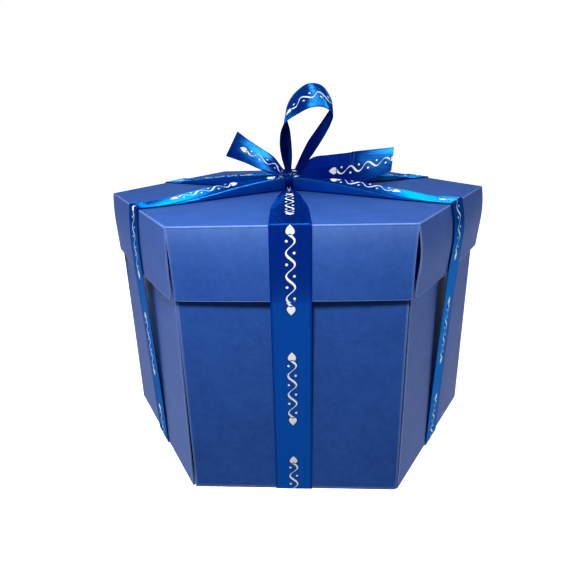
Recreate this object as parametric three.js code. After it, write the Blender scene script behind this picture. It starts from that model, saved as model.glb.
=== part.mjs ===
// Explosion box: a hexagonal gift box of paperboard whose lid holds three nested layers of wall panels
// upright. A printed satin ribbon crosses the lid and ends in a bow. Millimetres, +Z up, front towards -Y.
import * as THREE from "three";

// Paperboard
const boardThickness = 0.8;
const glueGap = 0.3; // between pieces that are glued or stand on each other
const creaseGap = 0.3; // between a base panel and the wall that is creased to it

// Lid
const lidSide = 125;
const lidEdgeRadius = 0.5;
const skirtDepth = 39.5;
const skirtBow = 1.3; // how far the free lower edge of a skirt flap bulges out at its middle
const skirtCornerRadius = 2;
const skirtSlit = 0.35; // from a flap's side edge to the plane that halves the corner
const flapHollow = 0.6; // the most that a flap's side edge is hollowed
const flapSwell = 2.9; // the most that a flap stands out between its crease and its free edge
const swellPower = 1.4; // above 1, a flap's swell is fullest nearer to its crease than to its free edge
const lidClearance = 1.9; // between a skirt flap and the wall behind it

// Box layers
const wallHeight = 159.2;
const wallSlit = 0.4;
const wallFoot = 1.6; // the most that an outer wall's left edge is cut back at its foot
const wallWaist = 1.2; // the most that it is hollowed halfway up
const wallCornerRadius = 1.5;
const layerStep = 6.5; // each layer is this much closer to the middle than the one outside it
const layerHeightStep = 8;
const layerGap = 0.7; // foam pad between stacked bases, which also clears the mats when the walls lie flat

// Photo mats
const matThickness = 0.3;
const matGlueGap = 0.1;
const matMargin = 9;
const matCornerRadius = 2;

// Gift box in the middle
const giftSide = 46;
const giftHeight = 56;
const giftLidSkirt = 19;
const giftLidClearance = 0.6;

// Ribbon
const ribbonWidth = 21;
const ribbonThickness = 0.4;
const ribbonLift = 0.35; // clearance under a ribbon that lies on board
const ribbonBendRadius = 1.2;
const ribbonEndGap = 0.3;
const armOverhang = 0.2; // how far the ribbon under the base reaches past the outer walls

// Knot and gathers
const knotPlace = new THREE.Vector2(-3, 0);
const knotHalfWidth = 5.2;
const knotHalfHeight = 5;
const knotCreaseDepth = 0.55;
const gatherHalfWidth = 3.1; // half the width of a ribbon where it is drawn in at the knot
const gatherStart = 6.4; // from the knot's middle to the ribbon that is gathered around it
const gatherEnd = 74; // where the ribbon lies flat on the lid again
const tentRoundness = 1.4; // 1 for a sharp fold along the gathered ribbon, 2 for a round one
const dropFootShare = 0.05; // of the ribbon below the skirt, which lies against the wall's foot

// Bow
const loopHeight = 60;
const leftTailLength = 42;
const rightTailLength = 68;
const bowLift = 0.8; // from the knot's top to the loop's two ends

// How finely curved pieces are stepped
const flapColumns = 10;
const flapRows = 8;
const cornerSteps = 3;
const wallEdgeSteps = 6;
const ribbonColumns = 6;
const loopSteps = 44;
const tailSteps = 22;

// Worked out from the driving sizes
const halfCorner = Math.tan(Math.PI / 6); // half a side for each millimetre of apothem
const apothemOf = (side) => side / (halfCorner * 2);
const lidApothem = apothemOf(lidSide);
const outerApothem = lidApothem - boardThickness - lidClearance;
const baseBottom = ribbonThickness;
const lidUnderside = baseBottom + wallHeight + glueGap;
const lidTop = lidUnderside + boardThickness;
const skirtBottom = lidTop - skirtDepth;
const flapTop = lidUnderside - creaseGap;

// The sides, each with its shares of the flaps' hollow and swell, at its left and right as seen from
// outside, and of the outer walls' foot and waist.
const sides = [
  { name: "front", turn: -Math.PI / 2, hollowShares: [0.25, 0.15], swellShares: [0, 0], footShare: 1, waistShare: 0 },
  { name: "front_right", turn: -Math.PI / 6, hollowShares: [1, 0.5], swellShares: [1, 0.6], footShare: 0.2, waistShare: 1 },
  { name: "back_right", turn: Math.PI / 6, hollowShares: [0.65, 0.65], swellShares: [0.55, 0.3], footShare: 0, waistShare: 0 },
  { name: "back", turn: Math.PI / 2, hollowShares: [0.85, 1], swellShares: [0.1, 0.15], footShare: 0, waistShare: 0 },
  { name: "back_left", turn: (5 * Math.PI) / 6, hollowShares: [0.65, 0.85], swellShares: [0.25, 0.3], footShare: 0, waistShare: 0 },
  { name: "front_left", turn: (7 * Math.PI) / 6, hollowShares: [0.65, 0.5], swellShares: [0.3, 0.1], footShare: 0, waistShare: 0 },
];

const layers = ["outer", "middle", "inner"].map((name, rank) => ({
  name,
  apothem: outerApothem - rank * layerStep,
  bottom: baseBottom + rank * (boardThickness + layerGap),
  height: wallHeight - rank * layerHeightStep,
}));

const finish = (color, roughness) =>
  new THREE.MeshStandardMaterial({ color, roughness, metalness: 0 });
const blueBoard = finish(0x2c4f9e, 0.75);
const layerBoard = {
  outer: blueBoard,
  middle: finish(0x7fa3dc, 0.75),
  inner: finish(0xdfe6f2, 0.75),
};
const matCard = finish(0xf3f1ea, 0.8);
const satin = finish(0x0a3fa8, 0.35);

// The lid rides on its own group, and each wall on a group of its own, as they come apart.
const box = new THREE.Group();
const lid = new THREE.Group();
const giftBox = new THREE.Group();
box.add(lid, giftBox);

function add(parent, name, geometry, material) {
  const mesh = new THREE.Mesh(geometry, material);
  mesh.name = name;
  parent.add(mesh);
  return mesh;
}

// A group turned so that its +X looks out through one side of the hexagon.
function facing(parent, side) {
  const group = new THREE.Group();
  group.rotation.z = side.turn;
  parent.add(group);
  return group;
}

// A closed sheet from rows of points on its outer face. Points run from left to right and rows from
// bottom to top as seen from outside, and the other face lies one thickness behind.
function sheetGeometry(rows, thickness) {
  const rowCount = rows.length;
  const columnCount = rows[0].length;
  const along = new THREE.Vector3();
  const across = new THREE.Vector3();
  const positions = [];
  const backs = [];
  rows.forEach((row, i) => {
    row.forEach((point, j) => {
      along.subVectors(rows[Math.min(i + 1, rowCount - 1)][j], rows[Math.max(i - 1, 0)][j]);
      across.subVectors(row[Math.min(j + 1, columnCount - 1)], row[Math.max(j - 1, 0)]);
      const inward = new THREE.Vector3().crossVectors(along, across).setLength(thickness);
      positions.push(point.x, point.y, point.z);
      backs.push(point.x + inward.x, point.y + inward.y, point.z + inward.z);
    });
  });
  const front = (i, j) => i * columnCount + j;
  const back = (i, j) => front(i, j) + rowCount * columnCount;
  const index = [];
  const quad = (a, b, c, d) => index.push(a, b, c, a, c, d);
  for (let i = 0; i < rowCount - 1; i += 1) {
    for (let j = 0; j < columnCount - 1; j += 1) {
      quad(front(i, j), front(i, j + 1), front(i + 1, j + 1), front(i + 1, j));
      quad(back(i, j), back(i + 1, j), back(i + 1, j + 1), back(i, j + 1));
    }
  }
  const lastRow = rowCount - 1;
  const lastColumn = columnCount - 1;
  for (let j = 0; j < lastColumn; j += 1) {
    quad(front(0, j), back(0, j), back(0, j + 1), front(0, j + 1));
    quad(front(lastRow, j), front(lastRow, j + 1), back(lastRow, j + 1), back(lastRow, j));
  }
  for (let i = 0; i < lastRow; i += 1) {
    quad(front(i, 0), front(i + 1, 0), back(i + 1, 0), back(i, 0));
    quad(front(i, lastColumn), back(i, lastColumn), back(i + 1, lastColumn), front(i + 1, lastColumn));
  }
  const geometry = new THREE.BufferGeometry();
  const numbers = new Float32Array([...positions, ...backs]);
  geometry.setAttribute("position", new THREE.BufferAttribute(numbers, 3));
  geometry.setIndex(index);
  geometry.computeVertexNormals();
  return geometry;
}

// A flat hexagon with its corners on the X axis, from its bottom up.
function hexagonPlate(apothem, thickness, edgeRadius = 0) {
  const shape = new THREE.Shape();
  const cornerRadius = (apothem - edgeRadius) / Math.cos(Math.PI / 6);
  sides.forEach((side, i) => {
    const angle = (i * Math.PI) / 3;
    const x = cornerRadius * Math.cos(angle);
    const y = cornerRadius * Math.sin(angle);
    if (i === 0) shape.moveTo(x, y);
    else shape.lineTo(x, y);
  });
  shape.closePath();
  const geometry = new THREE.ExtrudeGeometry(shape, {
    depth: thickness - edgeRadius,
    bevelEnabled: edgeRadius > 0,
    bevelThickness: edgeRadius / 2,
    bevelSize: edgeRadius,
    bevelSegments: 2,
  });
  return geometry.translate(0, 0, edgeRadius / 2);
}

// Starts the outline of an upright panel: its right edge and its rounded top, ending above its left edge.
function panelTop(shape, width, height, topRadius) {
  const half = width / 2;
  const rightAngle = Math.PI / 2;
  shape.lineTo(half, height - topRadius);
  shape.absarc(half - topRadius, height - topRadius, topRadius, 0, rightAngle);
  shape.lineTo(-half + topRadius, height);
  shape.absarc(-half + topRadius, height - topRadius, topRadius, rightAngle, 2 * rightAngle);
}

// A card with four rounded corners.
function cardOutline(width, height, radius) {
  const half = width / 2;
  const shape = new THREE.Shape();
  const rightAngle = Math.PI / 2;
  shape.moveTo(-half + radius, 0);
  shape.lineTo(half - radius, 0);
  shape.absarc(half - radius, radius, radius, -rightAngle, 0);
  panelTop(shape, width, height, radius);
  shape.lineTo(-half, radius);
  shape.absarc(-half + radius, radius, radius, 2 * rightAngle, 3 * rightAngle);
  return shape;
}

// A wall panel with rounded upper corners, its left edge cut back at the foot and hollowed at the waist.
function wallOutline(width, height, foot, waist) {
  const half = width / 2;
  const shape = new THREE.Shape();
  shape.moveTo(-half + foot, 0);
  shape.lineTo(half, 0);
  panelTop(shape, width, height, wallCornerRadius);
  if (foot + waist > 0) shape.quadraticCurveTo(-half + foot / 2 + 2 * waist, height / 2, -half + foot, 0);
  shape.closePath();
  return shape;
}

// Stands an outline up, square to +X, with its outer face on the plane of its group.
function uprightPanel(shape, thickness, curveSegments) {
  const upright = new THREE.Matrix4().makeBasis(
    new THREE.Vector3(0, 1, 0),
    new THREE.Vector3(0, 0, 1),
    new THREE.Vector3(1, 0, 0),
  );
  const flat = new THREE.ExtrudeGeometry(shape, {
    depth: thickness,
    bevelEnabled: false,
    curveSegments,
  });
  return flat.translate(0, 0, -thickness).applyMatrix4(upright);
}

// How far a skirt flap stands out at a place across it (-1 to 1) and up it (0 at its free edge): its free
// edge is bowed, and between there and its crease the board swells.
function skirtBulge({ swellShares }, acrossShare, upShare) {
  const bow = skirtBow * (1 - acrossShare ** 2) * Math.cos((upShare * Math.PI) / 2);
  const swellShare = THREE.MathUtils.lerp(...swellShares, (acrossShare + 1) / 2);
  const upSwell = Math.sin(Math.min(upShare, 1) ** swellPower * Math.PI);
  return bow + flapSwell * swellShare * upSwell;
}

// One skirt flap: bulged, with side edges cut in a shallow arc and rounded lower corners.
function skirtFlap(side) {
  const [leftShare, rightShare] = side.hollowShares;
  const height = flapTop - skirtBottom;
  const half = (lidApothem - boardThickness) * halfCorner - skirtSlit;
  const levels = [];
  for (let k = 0; k <= cornerSteps; k += 1) {
    const angle = (k / cornerSteps) * (Math.PI / 2);
    levels.push({
      up: skirtCornerRadius * (1 - Math.cos(angle)),
      cut: skirtCornerRadius * (1 - Math.sin(angle)),
    });
  }
  for (let k = 1; k <= flapRows; k += 1) {
    levels.push({ up: skirtCornerRadius + (k / flapRows) * (height - skirtCornerRadius), cut: 0 });
  }
  const rows = levels.map(({ up, cut }) => {
    const upShare = up / height;
    const hollow = flapHollow * Math.sin(Math.min(upShare, 1) * Math.PI);
    const left = -half + cut + leftShare * hollow;
    const right = half - cut - rightShare * hollow;
    const row = [];
    for (let j = 0; j <= flapColumns; j += 1) {
      const y = left + (j / flapColumns) * (right - left);
      const x = lidApothem + skirtBulge(side, y / half, upShare);
      row.push(new THREE.Vector3(x, y, skirtBottom + up));
    }
    return row;
  });
  return sheetGeometry(rows, boardThickness);
}

// Half the width of a ribbon at a distance from the knot, and how high its folded middle stands.
function gatherAt(distance) {
  const flatHalf = ribbonWidth / 2;
  const share = Math.min(Math.max((distance - gatherStart) / (gatherEnd - gatherStart), 0), 1);
  const eased = Math.sin((share * Math.PI) / 2) ** 0.8;
  const half = gatherHalfWidth + (flatHalf - gatherHalfWidth) * eased;
  return { half, ridge: Math.sqrt(Math.max(flatHalf ** 2 - half ** 2, 0)) };
}

// The ribbon from the knot over the lid's edge and down the skirt. Near the knot it is drawn in and
// folded along its middle, like a tent that flattens out towards the edge.
function ribbonOverLid(side) {
  const lie = ribbonLift + ribbonThickness;
  const knot = knotPlace.clone().rotateAround(new THREE.Vector2(), -side.turn);
  const bendCentre = lidApothem - ribbonBendRadius + lie;
  const tentShares = [0, 0.05, 0.11, 0.19, 0.29, 0.4, 0.52, 0.64, 0.76, 0.88, 1];
  const skirtShares = [0.875, 0.75, 0.625, 0.5, 0.375, 0.25, 0.125, 0];
  const bendShares = [0, 0.25, 0.5, 0.75, 1];
  const onLid = lidTop + lie;
  const route = [
    ...tentShares.map((share) => [gatherStart + share * (gatherEnd - gatherStart), onLid]),
    [(gatherEnd + bendCentre) / 2, onLid],
    ...bendShares.map((share) => {
      const angle = (share * Math.PI) / 2;
      const drop = ribbonBendRadius * (1 - Math.cos(angle));
      return [bendCentre + ribbonBendRadius * Math.sin(angle), onLid - drop];
    }),
    ...skirtShares.map((share) => [
      lidApothem + lie + skirtBulge(side, 0, share),
      skirtBottom + share * (flapTop - skirtBottom),
    ]),
  ];
  const rows = route.map(([x, z]) => {
    const { half, ridge } = gatherAt(x);
    const knotShare = Math.max(1 - x / lidApothem, 0);
    const row = [];
    for (let j = 0; j <= ribbonColumns; j += 1) {
      const acrossShare = 1 - (2 * j) / ribbonColumns;
      const rise = ridge * (1 - Math.abs(acrossShare) ** tentRoundness);
      const y = knot.y * knotShare + acrossShare * half;
      row.push(new THREE.Vector3(x + knot.x * knotShare, y, z + rise));
    }
    return row;
  });
  return sheetGeometry(rows, ribbonThickness);
}

// The ribbon below the skirt, which runs straight in to the foot of the wall and then down it.
function ribbonDrop() {
  const lie = ribbonLift + ribbonThickness;
  const top = { x: lidApothem + lie + skirtBow, z: skirtBottom - ribbonEndGap };
  const foot = { x: outerApothem + lie, z: baseBottom + ribbonEndGap };
  const half = ribbonWidth / 2;
  const stepShares = [1, 0.5, dropFootShare, 0];
  const rows = stepShares.map((share) => {
    const leanShare = Math.max(share - dropFootShare, 0) / (1 - dropFootShare);
    const x = foot.x + leanShare * (top.x - foot.x);
    const z = foot.z + share * (top.z - foot.z);
    return [half, 0, -half].map((y) => new THREE.Vector3(x, y, z));
  });
  return sheetGeometry(rows, ribbonThickness);
}

// Three ribbons crossing under the base, as one star that the box stands on.
function ribbonUnderside() {
  const reach = outerApothem + armOverhang;
  const half = ribbonWidth / 2;
  const crotch = half / Math.sin(Math.PI / 6);
  const shape = new THREE.Shape();
  sides.forEach((side, i) => {
    const out = new THREE.Vector2(Math.cos(side.turn), Math.sin(side.turn));
    const across = new THREE.Vector2(-out.y, out.x);
    const corner = (distance, offset) => [
      out.x * distance + across.x * offset,
      out.y * distance + across.y * offset,
    ];
    if (i === 0) shape.moveTo(...corner(reach, -half));
    else shape.lineTo(...corner(reach, -half));
    shape.lineTo(...corner(reach, half));
    const inner = side.turn + Math.PI / 6;
    shape.lineTo(crotch * Math.cos(inner), crotch * Math.sin(inner));
  });
  shape.closePath();
  return new THREE.ExtrudeGeometry(shape, { depth: ribbonThickness, bevelEnabled: false });
}

// A ribbon between two edges, each a smooth curve through a few places. It is drawn in where the edges
// come close, and small pleats take up its width there.
function ribbonBetween(nearPlaces, farPlaces, steps, pleatAt) {
  const near = new THREE.CatmullRomCurve3(nearPlaces, false, "centripetal");
  const far = new THREE.CatmullRomCurve3(farPlaces, false, "centripetal");
  const rows = [];
  for (let i = 0; i <= steps; i += 1) {
    const t = i / steps;
    const a = far.getPoint(t);
    const b = near.getPoint(t);
    const along = near.getTangent(t).add(far.getTangent(t)).normalize();
    const out = new THREE.Vector3().subVectors(b, a).cross(along).normalize();
    const row = [];
    for (let j = 0; j <= ribbonColumns; j += 1) {
      const share = j / ribbonColumns;
      const pleat = pleatAt(t) * Math.sin(share * 2 * Math.PI);
      row.push(new THREE.Vector3().lerpVectors(a, b, share).addScaledVector(out, pleat));
    }
    rows.push(row);
  }
  return sheetGeometry(rows, ribbonThickness);
}

// Places written as shares of a length, counted from the middle of the knot.
function placesFromKnot(length, shares, lift) {
  const height = lidTop + ribbonLift + ribbonThickness + knotHalfHeight + lift;
  return shares.map(
    ([x, y, z]) =>
      new THREE.Vector3(knotPlace.x + x * length, knotPlace.y + y * length, height + z * length),
  );
}

// The upright loop: up on the left, forward over the top and down again on the right.
const loopNearShares = [
  [-0.03, -0.05, 0], [-0.08, -0.115, 0.19], [-0.095, -0.15, 0.33], [-0.08, -0.16, 0.45],
  [-0.03, -0.165, 0.54], [0.12, -0.15, 0.63], [0.24, -0.135, 0.68], [0.35, -0.12, 0.685],
  [0.43, -0.135, 0.655], [0.48, -0.15, 0.595], [0.46, -0.16, 0.515], [0.4, -0.15, 0.4],
  [0.32, -0.13, 0.275], [0.235, -0.1, 0.155], [0.11, -0.045, 0],
];
const loopFarShares = [
  [0.02, 0.05, 0], [0.03, 0.115, 0.17], [0.02, 0.15, 0.31], [0.005, 0.16, 0.44],
  [-0.035, 0.135, 0.62], [0, 0.115, 0.735], [0.085, 0.1, 0.84], [0.225, 0.1, 0.92],
  [0.365, 0.12, 0.895], [0.455, 0.135, 0.79], [0.485, 0.15, 0.69], [0.425, 0.16, 0.59],
  [0.325, 0.15, 0.455], [0.215, 0.125, 0.31], [0.065, 0.05, 0.03],
];
// The left tail rises to a square-cut end, and the right one runs level along the lid.
const leftUpperShares = [
  [-0.09, 0.02, 0.14], [-0.22, 0.07, 0.31], [-0.43, 0.12, 0.45], [-0.62, 0.14, 0.58], [-0.8, 0.14, 0.72],
];
const leftLowerShares = [
  [-0.12, 0, 0.005], [-0.22, -0.06, 0.05], [-0.42, -0.12, 0.135], [-0.68, -0.14, 0.25], [-0.99, -0.14, 0.36],
];
const rightUpperShares = [
  [0.08, -0.015, 0.065], [0.235, -0.055, 0.19], [0.38, -0.07, 0.21], [0.54, -0.055, 0.225],
  [0.62, 0, 0.23], [0.745, 0.045, 0.24], [1.025, 0.06, 0.26],
];
const rightLowerShares = [
  [0.085, 0, -0.05], [0.225, 0.005, -0.075], [0.385, 0.01, -0.07], [0.55, 0.005, -0.045],
  [0.66, -0.03, 0.005], [0.765, -0.07, 0.03], [0.985, -0.075, 0.055],
];

// The knot: a short band wound around the crossing, with creases that run over it from front to back.
function knotGeometry() {
  const creases = 6;
  const geometry = new THREE.SphereGeometry(1, 18, 12).rotateX(Math.PI / 2);
  const place = geometry.getAttribute("position");
  const point = new THREE.Vector3();
  for (let i = 0; i < place.count; i += 1) {
    point.fromBufferAttribute(place, i);
    const crease = knotCreaseDepth * Math.cos(Math.atan2(point.x, point.z) * creases);
    const width = knotHalfWidth + crease * (1 - point.y ** 2);
    const height = knotHalfHeight + crease * (1 - point.y ** 2);
    place.setXYZ(i, point.x * width, point.y * knotHalfWidth, point.z * height);
  }
  const middle = lidTop + ribbonLift + ribbonThickness + knotHalfHeight;
  return geometry.translate(knotPlace.x, knotPlace.y, middle);
}

// A six-sided cup with its floor at zero, corners on the X axis.
function hexagonCup(side, height, wall) {
  const inner = side - wall / Math.cos(Math.PI / 6);
  const profile = [
    [0, 0],
    [side, 0],
    [side, height],
    [inner, height],
    [inner, wall],
    [0, wall],
  ].map(([x, y]) => new THREE.Vector2(x, y));
  const cup = new THREE.LatheGeometry(profile, sides.length, Math.PI / 6, Math.PI * 2);
  return cup.rotateX(Math.PI / 2);
}

function buildLayer(layer) {
  const board = layerBoard[layer.name];
  const baseApothem = layer.apothem - boardThickness - creaseGap;
  const base = add(box, `${layer.name}_base`, hexagonPlate(baseApothem, boardThickness), board);
  base.position.z = layer.bottom + (layer.name === "outer" ? glueGap : 0);
  const width = 2 * ((layer.apothem - boardThickness) * halfCorner - wallSlit);
  sides.forEach((side) => {
    const wall = facing(box, side);
    wall.position.z = layer.bottom;
    const { footShare: foot, waistShare: waist } = layer.name === "outer" ? side : { footShare: 0, waistShare: 0 };
    const outline = wallOutline(width, layer.height, foot * wallFoot, waist * wallWaist);
    const panel = uprightPanel(outline, boardThickness, wallEdgeSteps);
    add(wall, `${layer.name}_wall_${side.name}`, panel.translate(layer.apothem, 0, 0), board);
    if (layer.name === "inner") return;
    const card = cardOutline(width - 2 * matMargin, layer.height - 2 * matMargin, matCornerRadius);
    const mat = uprightPanel(card, matThickness, cornerSteps);
    const matFace = layer.apothem - boardThickness - matGlueGap;
    add(wall, `${layer.name}_mat_${side.name}`, mat.translate(matFace, 0, matMargin), matCard);
  });
}

function buildLid() {
  const panel = hexagonPlate(lidApothem, boardThickness, lidEdgeRadius);
  add(lid, "lid_top_panel", panel, blueBoard).position.z = lidUnderside;
  sides.forEach((side) => add(facing(lid, side), `lid_flap_${side.name}`, skirtFlap(side), blueBoard));
}

function buildGiftBox() {
  const innermost = layers.at(-1);
  giftBox.position.z = innermost.bottom + boardThickness + glueGap;
  add(giftBox, "gift_box_body", hexagonCup(giftSide, giftHeight, boardThickness), layerBoard.middle);
  const lidOuterSide = giftSide + (giftLidClearance + boardThickness) / Math.cos(Math.PI / 6);
  const cap = hexagonCup(lidOuterSide, giftLidSkirt, boardThickness).rotateX(Math.PI);
  const capTop = giftHeight + glueGap + boardThickness;
  add(giftBox, "gift_box_lid", cap, blueBoard).position.z = capTop;
}

function buildRibbon() {
  sides.forEach((side) => {
    add(facing(lid, side), `ribbon_top_${side.name}`, ribbonOverLid(side), satin);
    add(facing(box, side), `ribbon_drop_${side.name}`, ribbonDrop(), satin);
  });
  add(box, "ribbon_underside", ribbonUnderside(), satin);
}

function buildBow() {
  add(lid, "bow_knot", knotGeometry(), satin);
  const drawnIn = (depth) => (t) => depth * Math.max(1 - t * 4, 0);
  const bothEnds = (t) => Math.max(1 - Math.min(t, 1 - t) * 6, 0);
  const pleatDepth = ribbonThickness * 3;
  const loop = ribbonBetween(
    placesFromKnot(loopHeight, loopNearShares, knotHalfHeight + bowLift),
    placesFromKnot(loopHeight, loopFarShares, knotHalfHeight + bowLift),
    loopSteps,
    (t) => pleatDepth * bothEnds(t),
  );
  const tail = (length, upper, lower) =>
    ribbonBetween(
      placesFromKnot(length, lower, knotHalfHeight / 2),
      placesFromKnot(length, upper, knotHalfHeight / 2),
      tailSteps,
      drawnIn(pleatDepth),
    );
  add(lid, "bow_loop", loop, satin);
  add(lid, "bow_tail_left", tail(leftTailLength, leftUpperShares, leftLowerShares), satin);
  add(lid, "bow_tail_right", tail(rightTailLength, rightUpperShares, rightLowerShares), satin);
}

layers.forEach(buildLayer);
buildLid();
buildGiftBox();
buildRibbon();
buildBow();

export default box;
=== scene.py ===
"""Looks of a hexagonal explosion box in blue paperboard, tied with a printed satin ribbon.

Every size is in millimetres, as in the part's own source, and becomes metres where a mesh is made.
The front of the box looks towards -Y. A side's own axes are: X out of the box, Y to the right as
seen from outside, Z up.
"""

import logging
import math
from dataclasses import dataclass, field
from enum import Enum
from typing import Callable, Final, Sequence

import bmesh
import bpy
import numpy as np
from mathutils import Matrix, Vector


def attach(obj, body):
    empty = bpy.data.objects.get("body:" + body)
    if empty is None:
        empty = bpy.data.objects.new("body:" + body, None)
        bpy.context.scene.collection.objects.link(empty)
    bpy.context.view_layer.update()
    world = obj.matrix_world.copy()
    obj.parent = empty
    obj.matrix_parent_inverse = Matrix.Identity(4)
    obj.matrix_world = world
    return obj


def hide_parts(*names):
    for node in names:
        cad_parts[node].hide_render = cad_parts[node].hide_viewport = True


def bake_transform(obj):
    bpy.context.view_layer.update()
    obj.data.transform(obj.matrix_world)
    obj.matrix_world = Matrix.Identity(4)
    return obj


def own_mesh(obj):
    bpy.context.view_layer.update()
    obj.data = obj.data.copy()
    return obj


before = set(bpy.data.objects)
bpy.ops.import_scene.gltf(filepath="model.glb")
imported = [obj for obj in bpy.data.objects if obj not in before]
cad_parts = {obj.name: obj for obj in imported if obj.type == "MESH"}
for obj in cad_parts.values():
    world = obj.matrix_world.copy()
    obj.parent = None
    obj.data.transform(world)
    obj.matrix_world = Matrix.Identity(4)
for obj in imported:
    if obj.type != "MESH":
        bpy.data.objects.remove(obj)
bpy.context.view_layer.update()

log = logging.getLogger("explosion_box")

MM: Final = 0.001
HALF_CORNER: Final = math.tan(math.pi / 6)  # half a hexagon's side for each millimetre of apothem
QUARTER: Final = math.pi / 2
SHARP: Final = math.radians(42)  # edges that turn more than this stay sharp
KNOT_PLACE: Final = (-3.0, 0.0)  # where the knot's middle stands on the lid

Colour = tuple[float, float, float]
Place = tuple[float, float, float]
Places = Sequence[Place]
Materials = Sequence[bpy.types.Material]
WHITE: Final[Colour] = (1.0, 1.0, 1.0)


def turned(points: np.ndarray, degrees: float) -> np.ndarray:
    """Points turned about the box's upright axis."""
    c, s = math.cos(math.radians(degrees)), math.sin(math.radians(degrees))
    return points @ np.array([[c, s, 0], [-s, c, 0], [0, 0, 1]])


class Labelled(Enum):
    """A choice whose name is also part of the names of nodes and bodies in the frame."""

    @property
    def label(self) -> str:
        """The name as the frame has it."""
        return self.name.lower()


class Side(Labelled):
    """One side of the hexagon, with the direction it faces in degrees."""

    FRONT = -90
    FRONT_RIGHT = -30
    BACK_RIGHT = 30
    BACK = 90
    BACK_LEFT = 150
    FRONT_LEFT = 210

    def place(self, points: np.ndarray) -> np.ndarray:
        """Turns points from the side's own axes into the box's."""
        return turned(points, self.value)

    def spot(self, x: float, z: float) -> np.ndarray:
        """A place on the side's middle line, in metres."""
        return self.place(np.array([x, 0.0, z])) * MM


class Layer(Labelled):
    """One nested layer of walls, counted inwards."""

    OUTER = 0
    MIDDLE = 1
    INNER = 2


# ---- Shader graphs ----


def operator(operation: str, swapped: bool = False) -> Callable[["Signal", "Number"], "Signal"]:
    """Makes an operator of a signal.

    Args:
        operation: The Math node's operation.
        swapped: True where the signal comes second, as in 1 - signal.

    Returns:
        The method, which adds the node.
    """

    def operate(self: "Signal", other: "Number") -> "Signal":
        """Adds the Math node on this signal and another value."""
        return self.graph.maths(operation, *((other, self) if swapped else (self, other)))

    return operate


@dataclass(frozen=True)
class Signal:
    """A number, colour or vector that changes over a surface: one output of a node graph."""

    graph: "NodeGraph"
    socket: bpy.types.NodeSocket | None

    __add__ = __radd__ = operator("ADD")
    __mul__ = __rmul__ = operator("MULTIPLY")
    __sub__ = operator("SUBTRACT")
    __rsub__ = operator("SUBTRACT", swapped=True)
    __truediv__ = operator("DIVIDE")
    __mod__ = operator("FLOORED_MODULO")
    __pow__ = operator("POWER")

    def __abs__(self) -> "Signal":
        """The size without its sign."""
        return self.graph.maths("ABSOLUTE", self)


Number = float | Signal


class NodeGraph:
    """Builds the nodes of one material, world or node group."""

    def __init__(self, tree: bpy.types.NodeTree) -> None:
        """Starts on an emptied node tree."""
        self.tree = tree
        tree.nodes.clear()

    def node(
        self,
        kind: str,
        settings: dict[str, object] | None = None,
        sockets: dict[str | int, object] | None = None,
        output: str | int = 0,
    ) -> Signal:
        """Adds a node.

        Args:
            kind: The node's type.
            settings: Its properties, which are set before its sockets.
            sockets: A value or a Signal for each input, by name or number.
            output: The output that is wanted.

        Returns:
            The wanted output.
        """
        made = self.tree.nodes.new(kind)
        for name, value in (settings or {}).items():
            setattr(made, name, value)
        for name, value in (sockets or {}).items():
            if isinstance(value, Signal):
                self.tree.links.new(value.socket, made.inputs[name])
            else:
                made.inputs[name].default_value = value
        return Signal(self, made.outputs[output] if len(made.outputs) else None)

    def maths(self, operation: str, *values: Number) -> Signal:
        """A Math node on up to three numbers."""
        return self.node("ShaderNodeMath", {"operation": operation}, dict(enumerate(values)))

    def clamp(self, value: Number) -> Signal:
        """The value kept between 0 and 1."""
        settings = {"operation": "ADD", "use_clamp": True}
        return self.node("ShaderNodeMath", settings, {0: value, 1: 0.0})

    def mix(self, factor: Number, a: Colour | Signal, b: Colour | Signal) -> Signal:
        """A blend of two colours.

        Args:
            factor: 0 for the first colour and 1 for the second.
            a: The first colour.
            b: The second colour.

        Returns:
            The colour.
        """
        first, second = (c if isinstance(c, Signal) else (*c, 1.0) for c in (a, b))
        sockets = {"Factor": factor, 6: first, 7: second}
        return self.node("ShaderNodeMix", {"data_type": "RGBA"}, sockets, output=2)

    def noise(
        self, where: Signal, scale: float, detail: float = 2.0, roughness: float = 0.5
    ) -> Signal:
        """A noise texture between 0 and 1."""
        sockets = {"Vector": where, "Scale": scale, "Detail": detail, "Roughness": roughness}
        return self.node("ShaderNodeTexNoise", {}, sockets)

    def streaks(self, where: Signal, scale: Place, detail: float) -> Signal:
        """Noise that is stretched along the axes."""
        spread = self.node("ShaderNodeVectorMath", {"operation": "MULTIPLY"}, {0: where, 1: scale})
        return self.noise(spread, 1.0, detail)

    def bump(self, height: Signal, distance: float, strength: float) -> Signal:
        """Relief of a given height in metres."""
        sockets = {"Height": height, "Distance": distance, "Strength": strength}
        return self.node("ShaderNodeBump", {}, sockets)

    def attribute(self, name: str) -> Signal:
        """A number that the mesh carries."""
        return self.node("ShaderNodeAttribute", {"attribute_name": name}, output="Fac")

    def here(self, output: str = "Object") -> Signal:
        """Where a place is on the object, or which way a place of the world lies."""
        return self.node("ShaderNodeTexCoord", output=output)

    def axes(self, where: Signal, count: int) -> list[Signal]:
        """The first few numbers of a vector."""
        return [self.node("ShaderNodeSeparateXYZ", {}, {0: where}, axis) for axis in range(count)]

    def on_sheet(self) -> tuple[Signal, Signal, Signal]:
        """Finds where a place is on the flat sheet.

        Returns:
            The place in metres, and its millimetres across and along the sheet.
        """
        place = self.node("ShaderNodeUVMap", {"uv_map": "Sheet"})
        across, along = self.axes(place, 2)
        return place, across * (1 / MM), along * (1 / MM)

    def principled(self, sockets: dict[str, object]) -> Signal:
        """A Principled shader with these sockets."""
        return self.node("ShaderNodeBsdfPrincipled", {}, sockets)

    def end(self, shader: Signal, kind: str = "ShaderNodeOutputMaterial") -> None:
        """Ends the graph in a shader."""
        self.node(kind, {}, {"Surface": shader})


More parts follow.
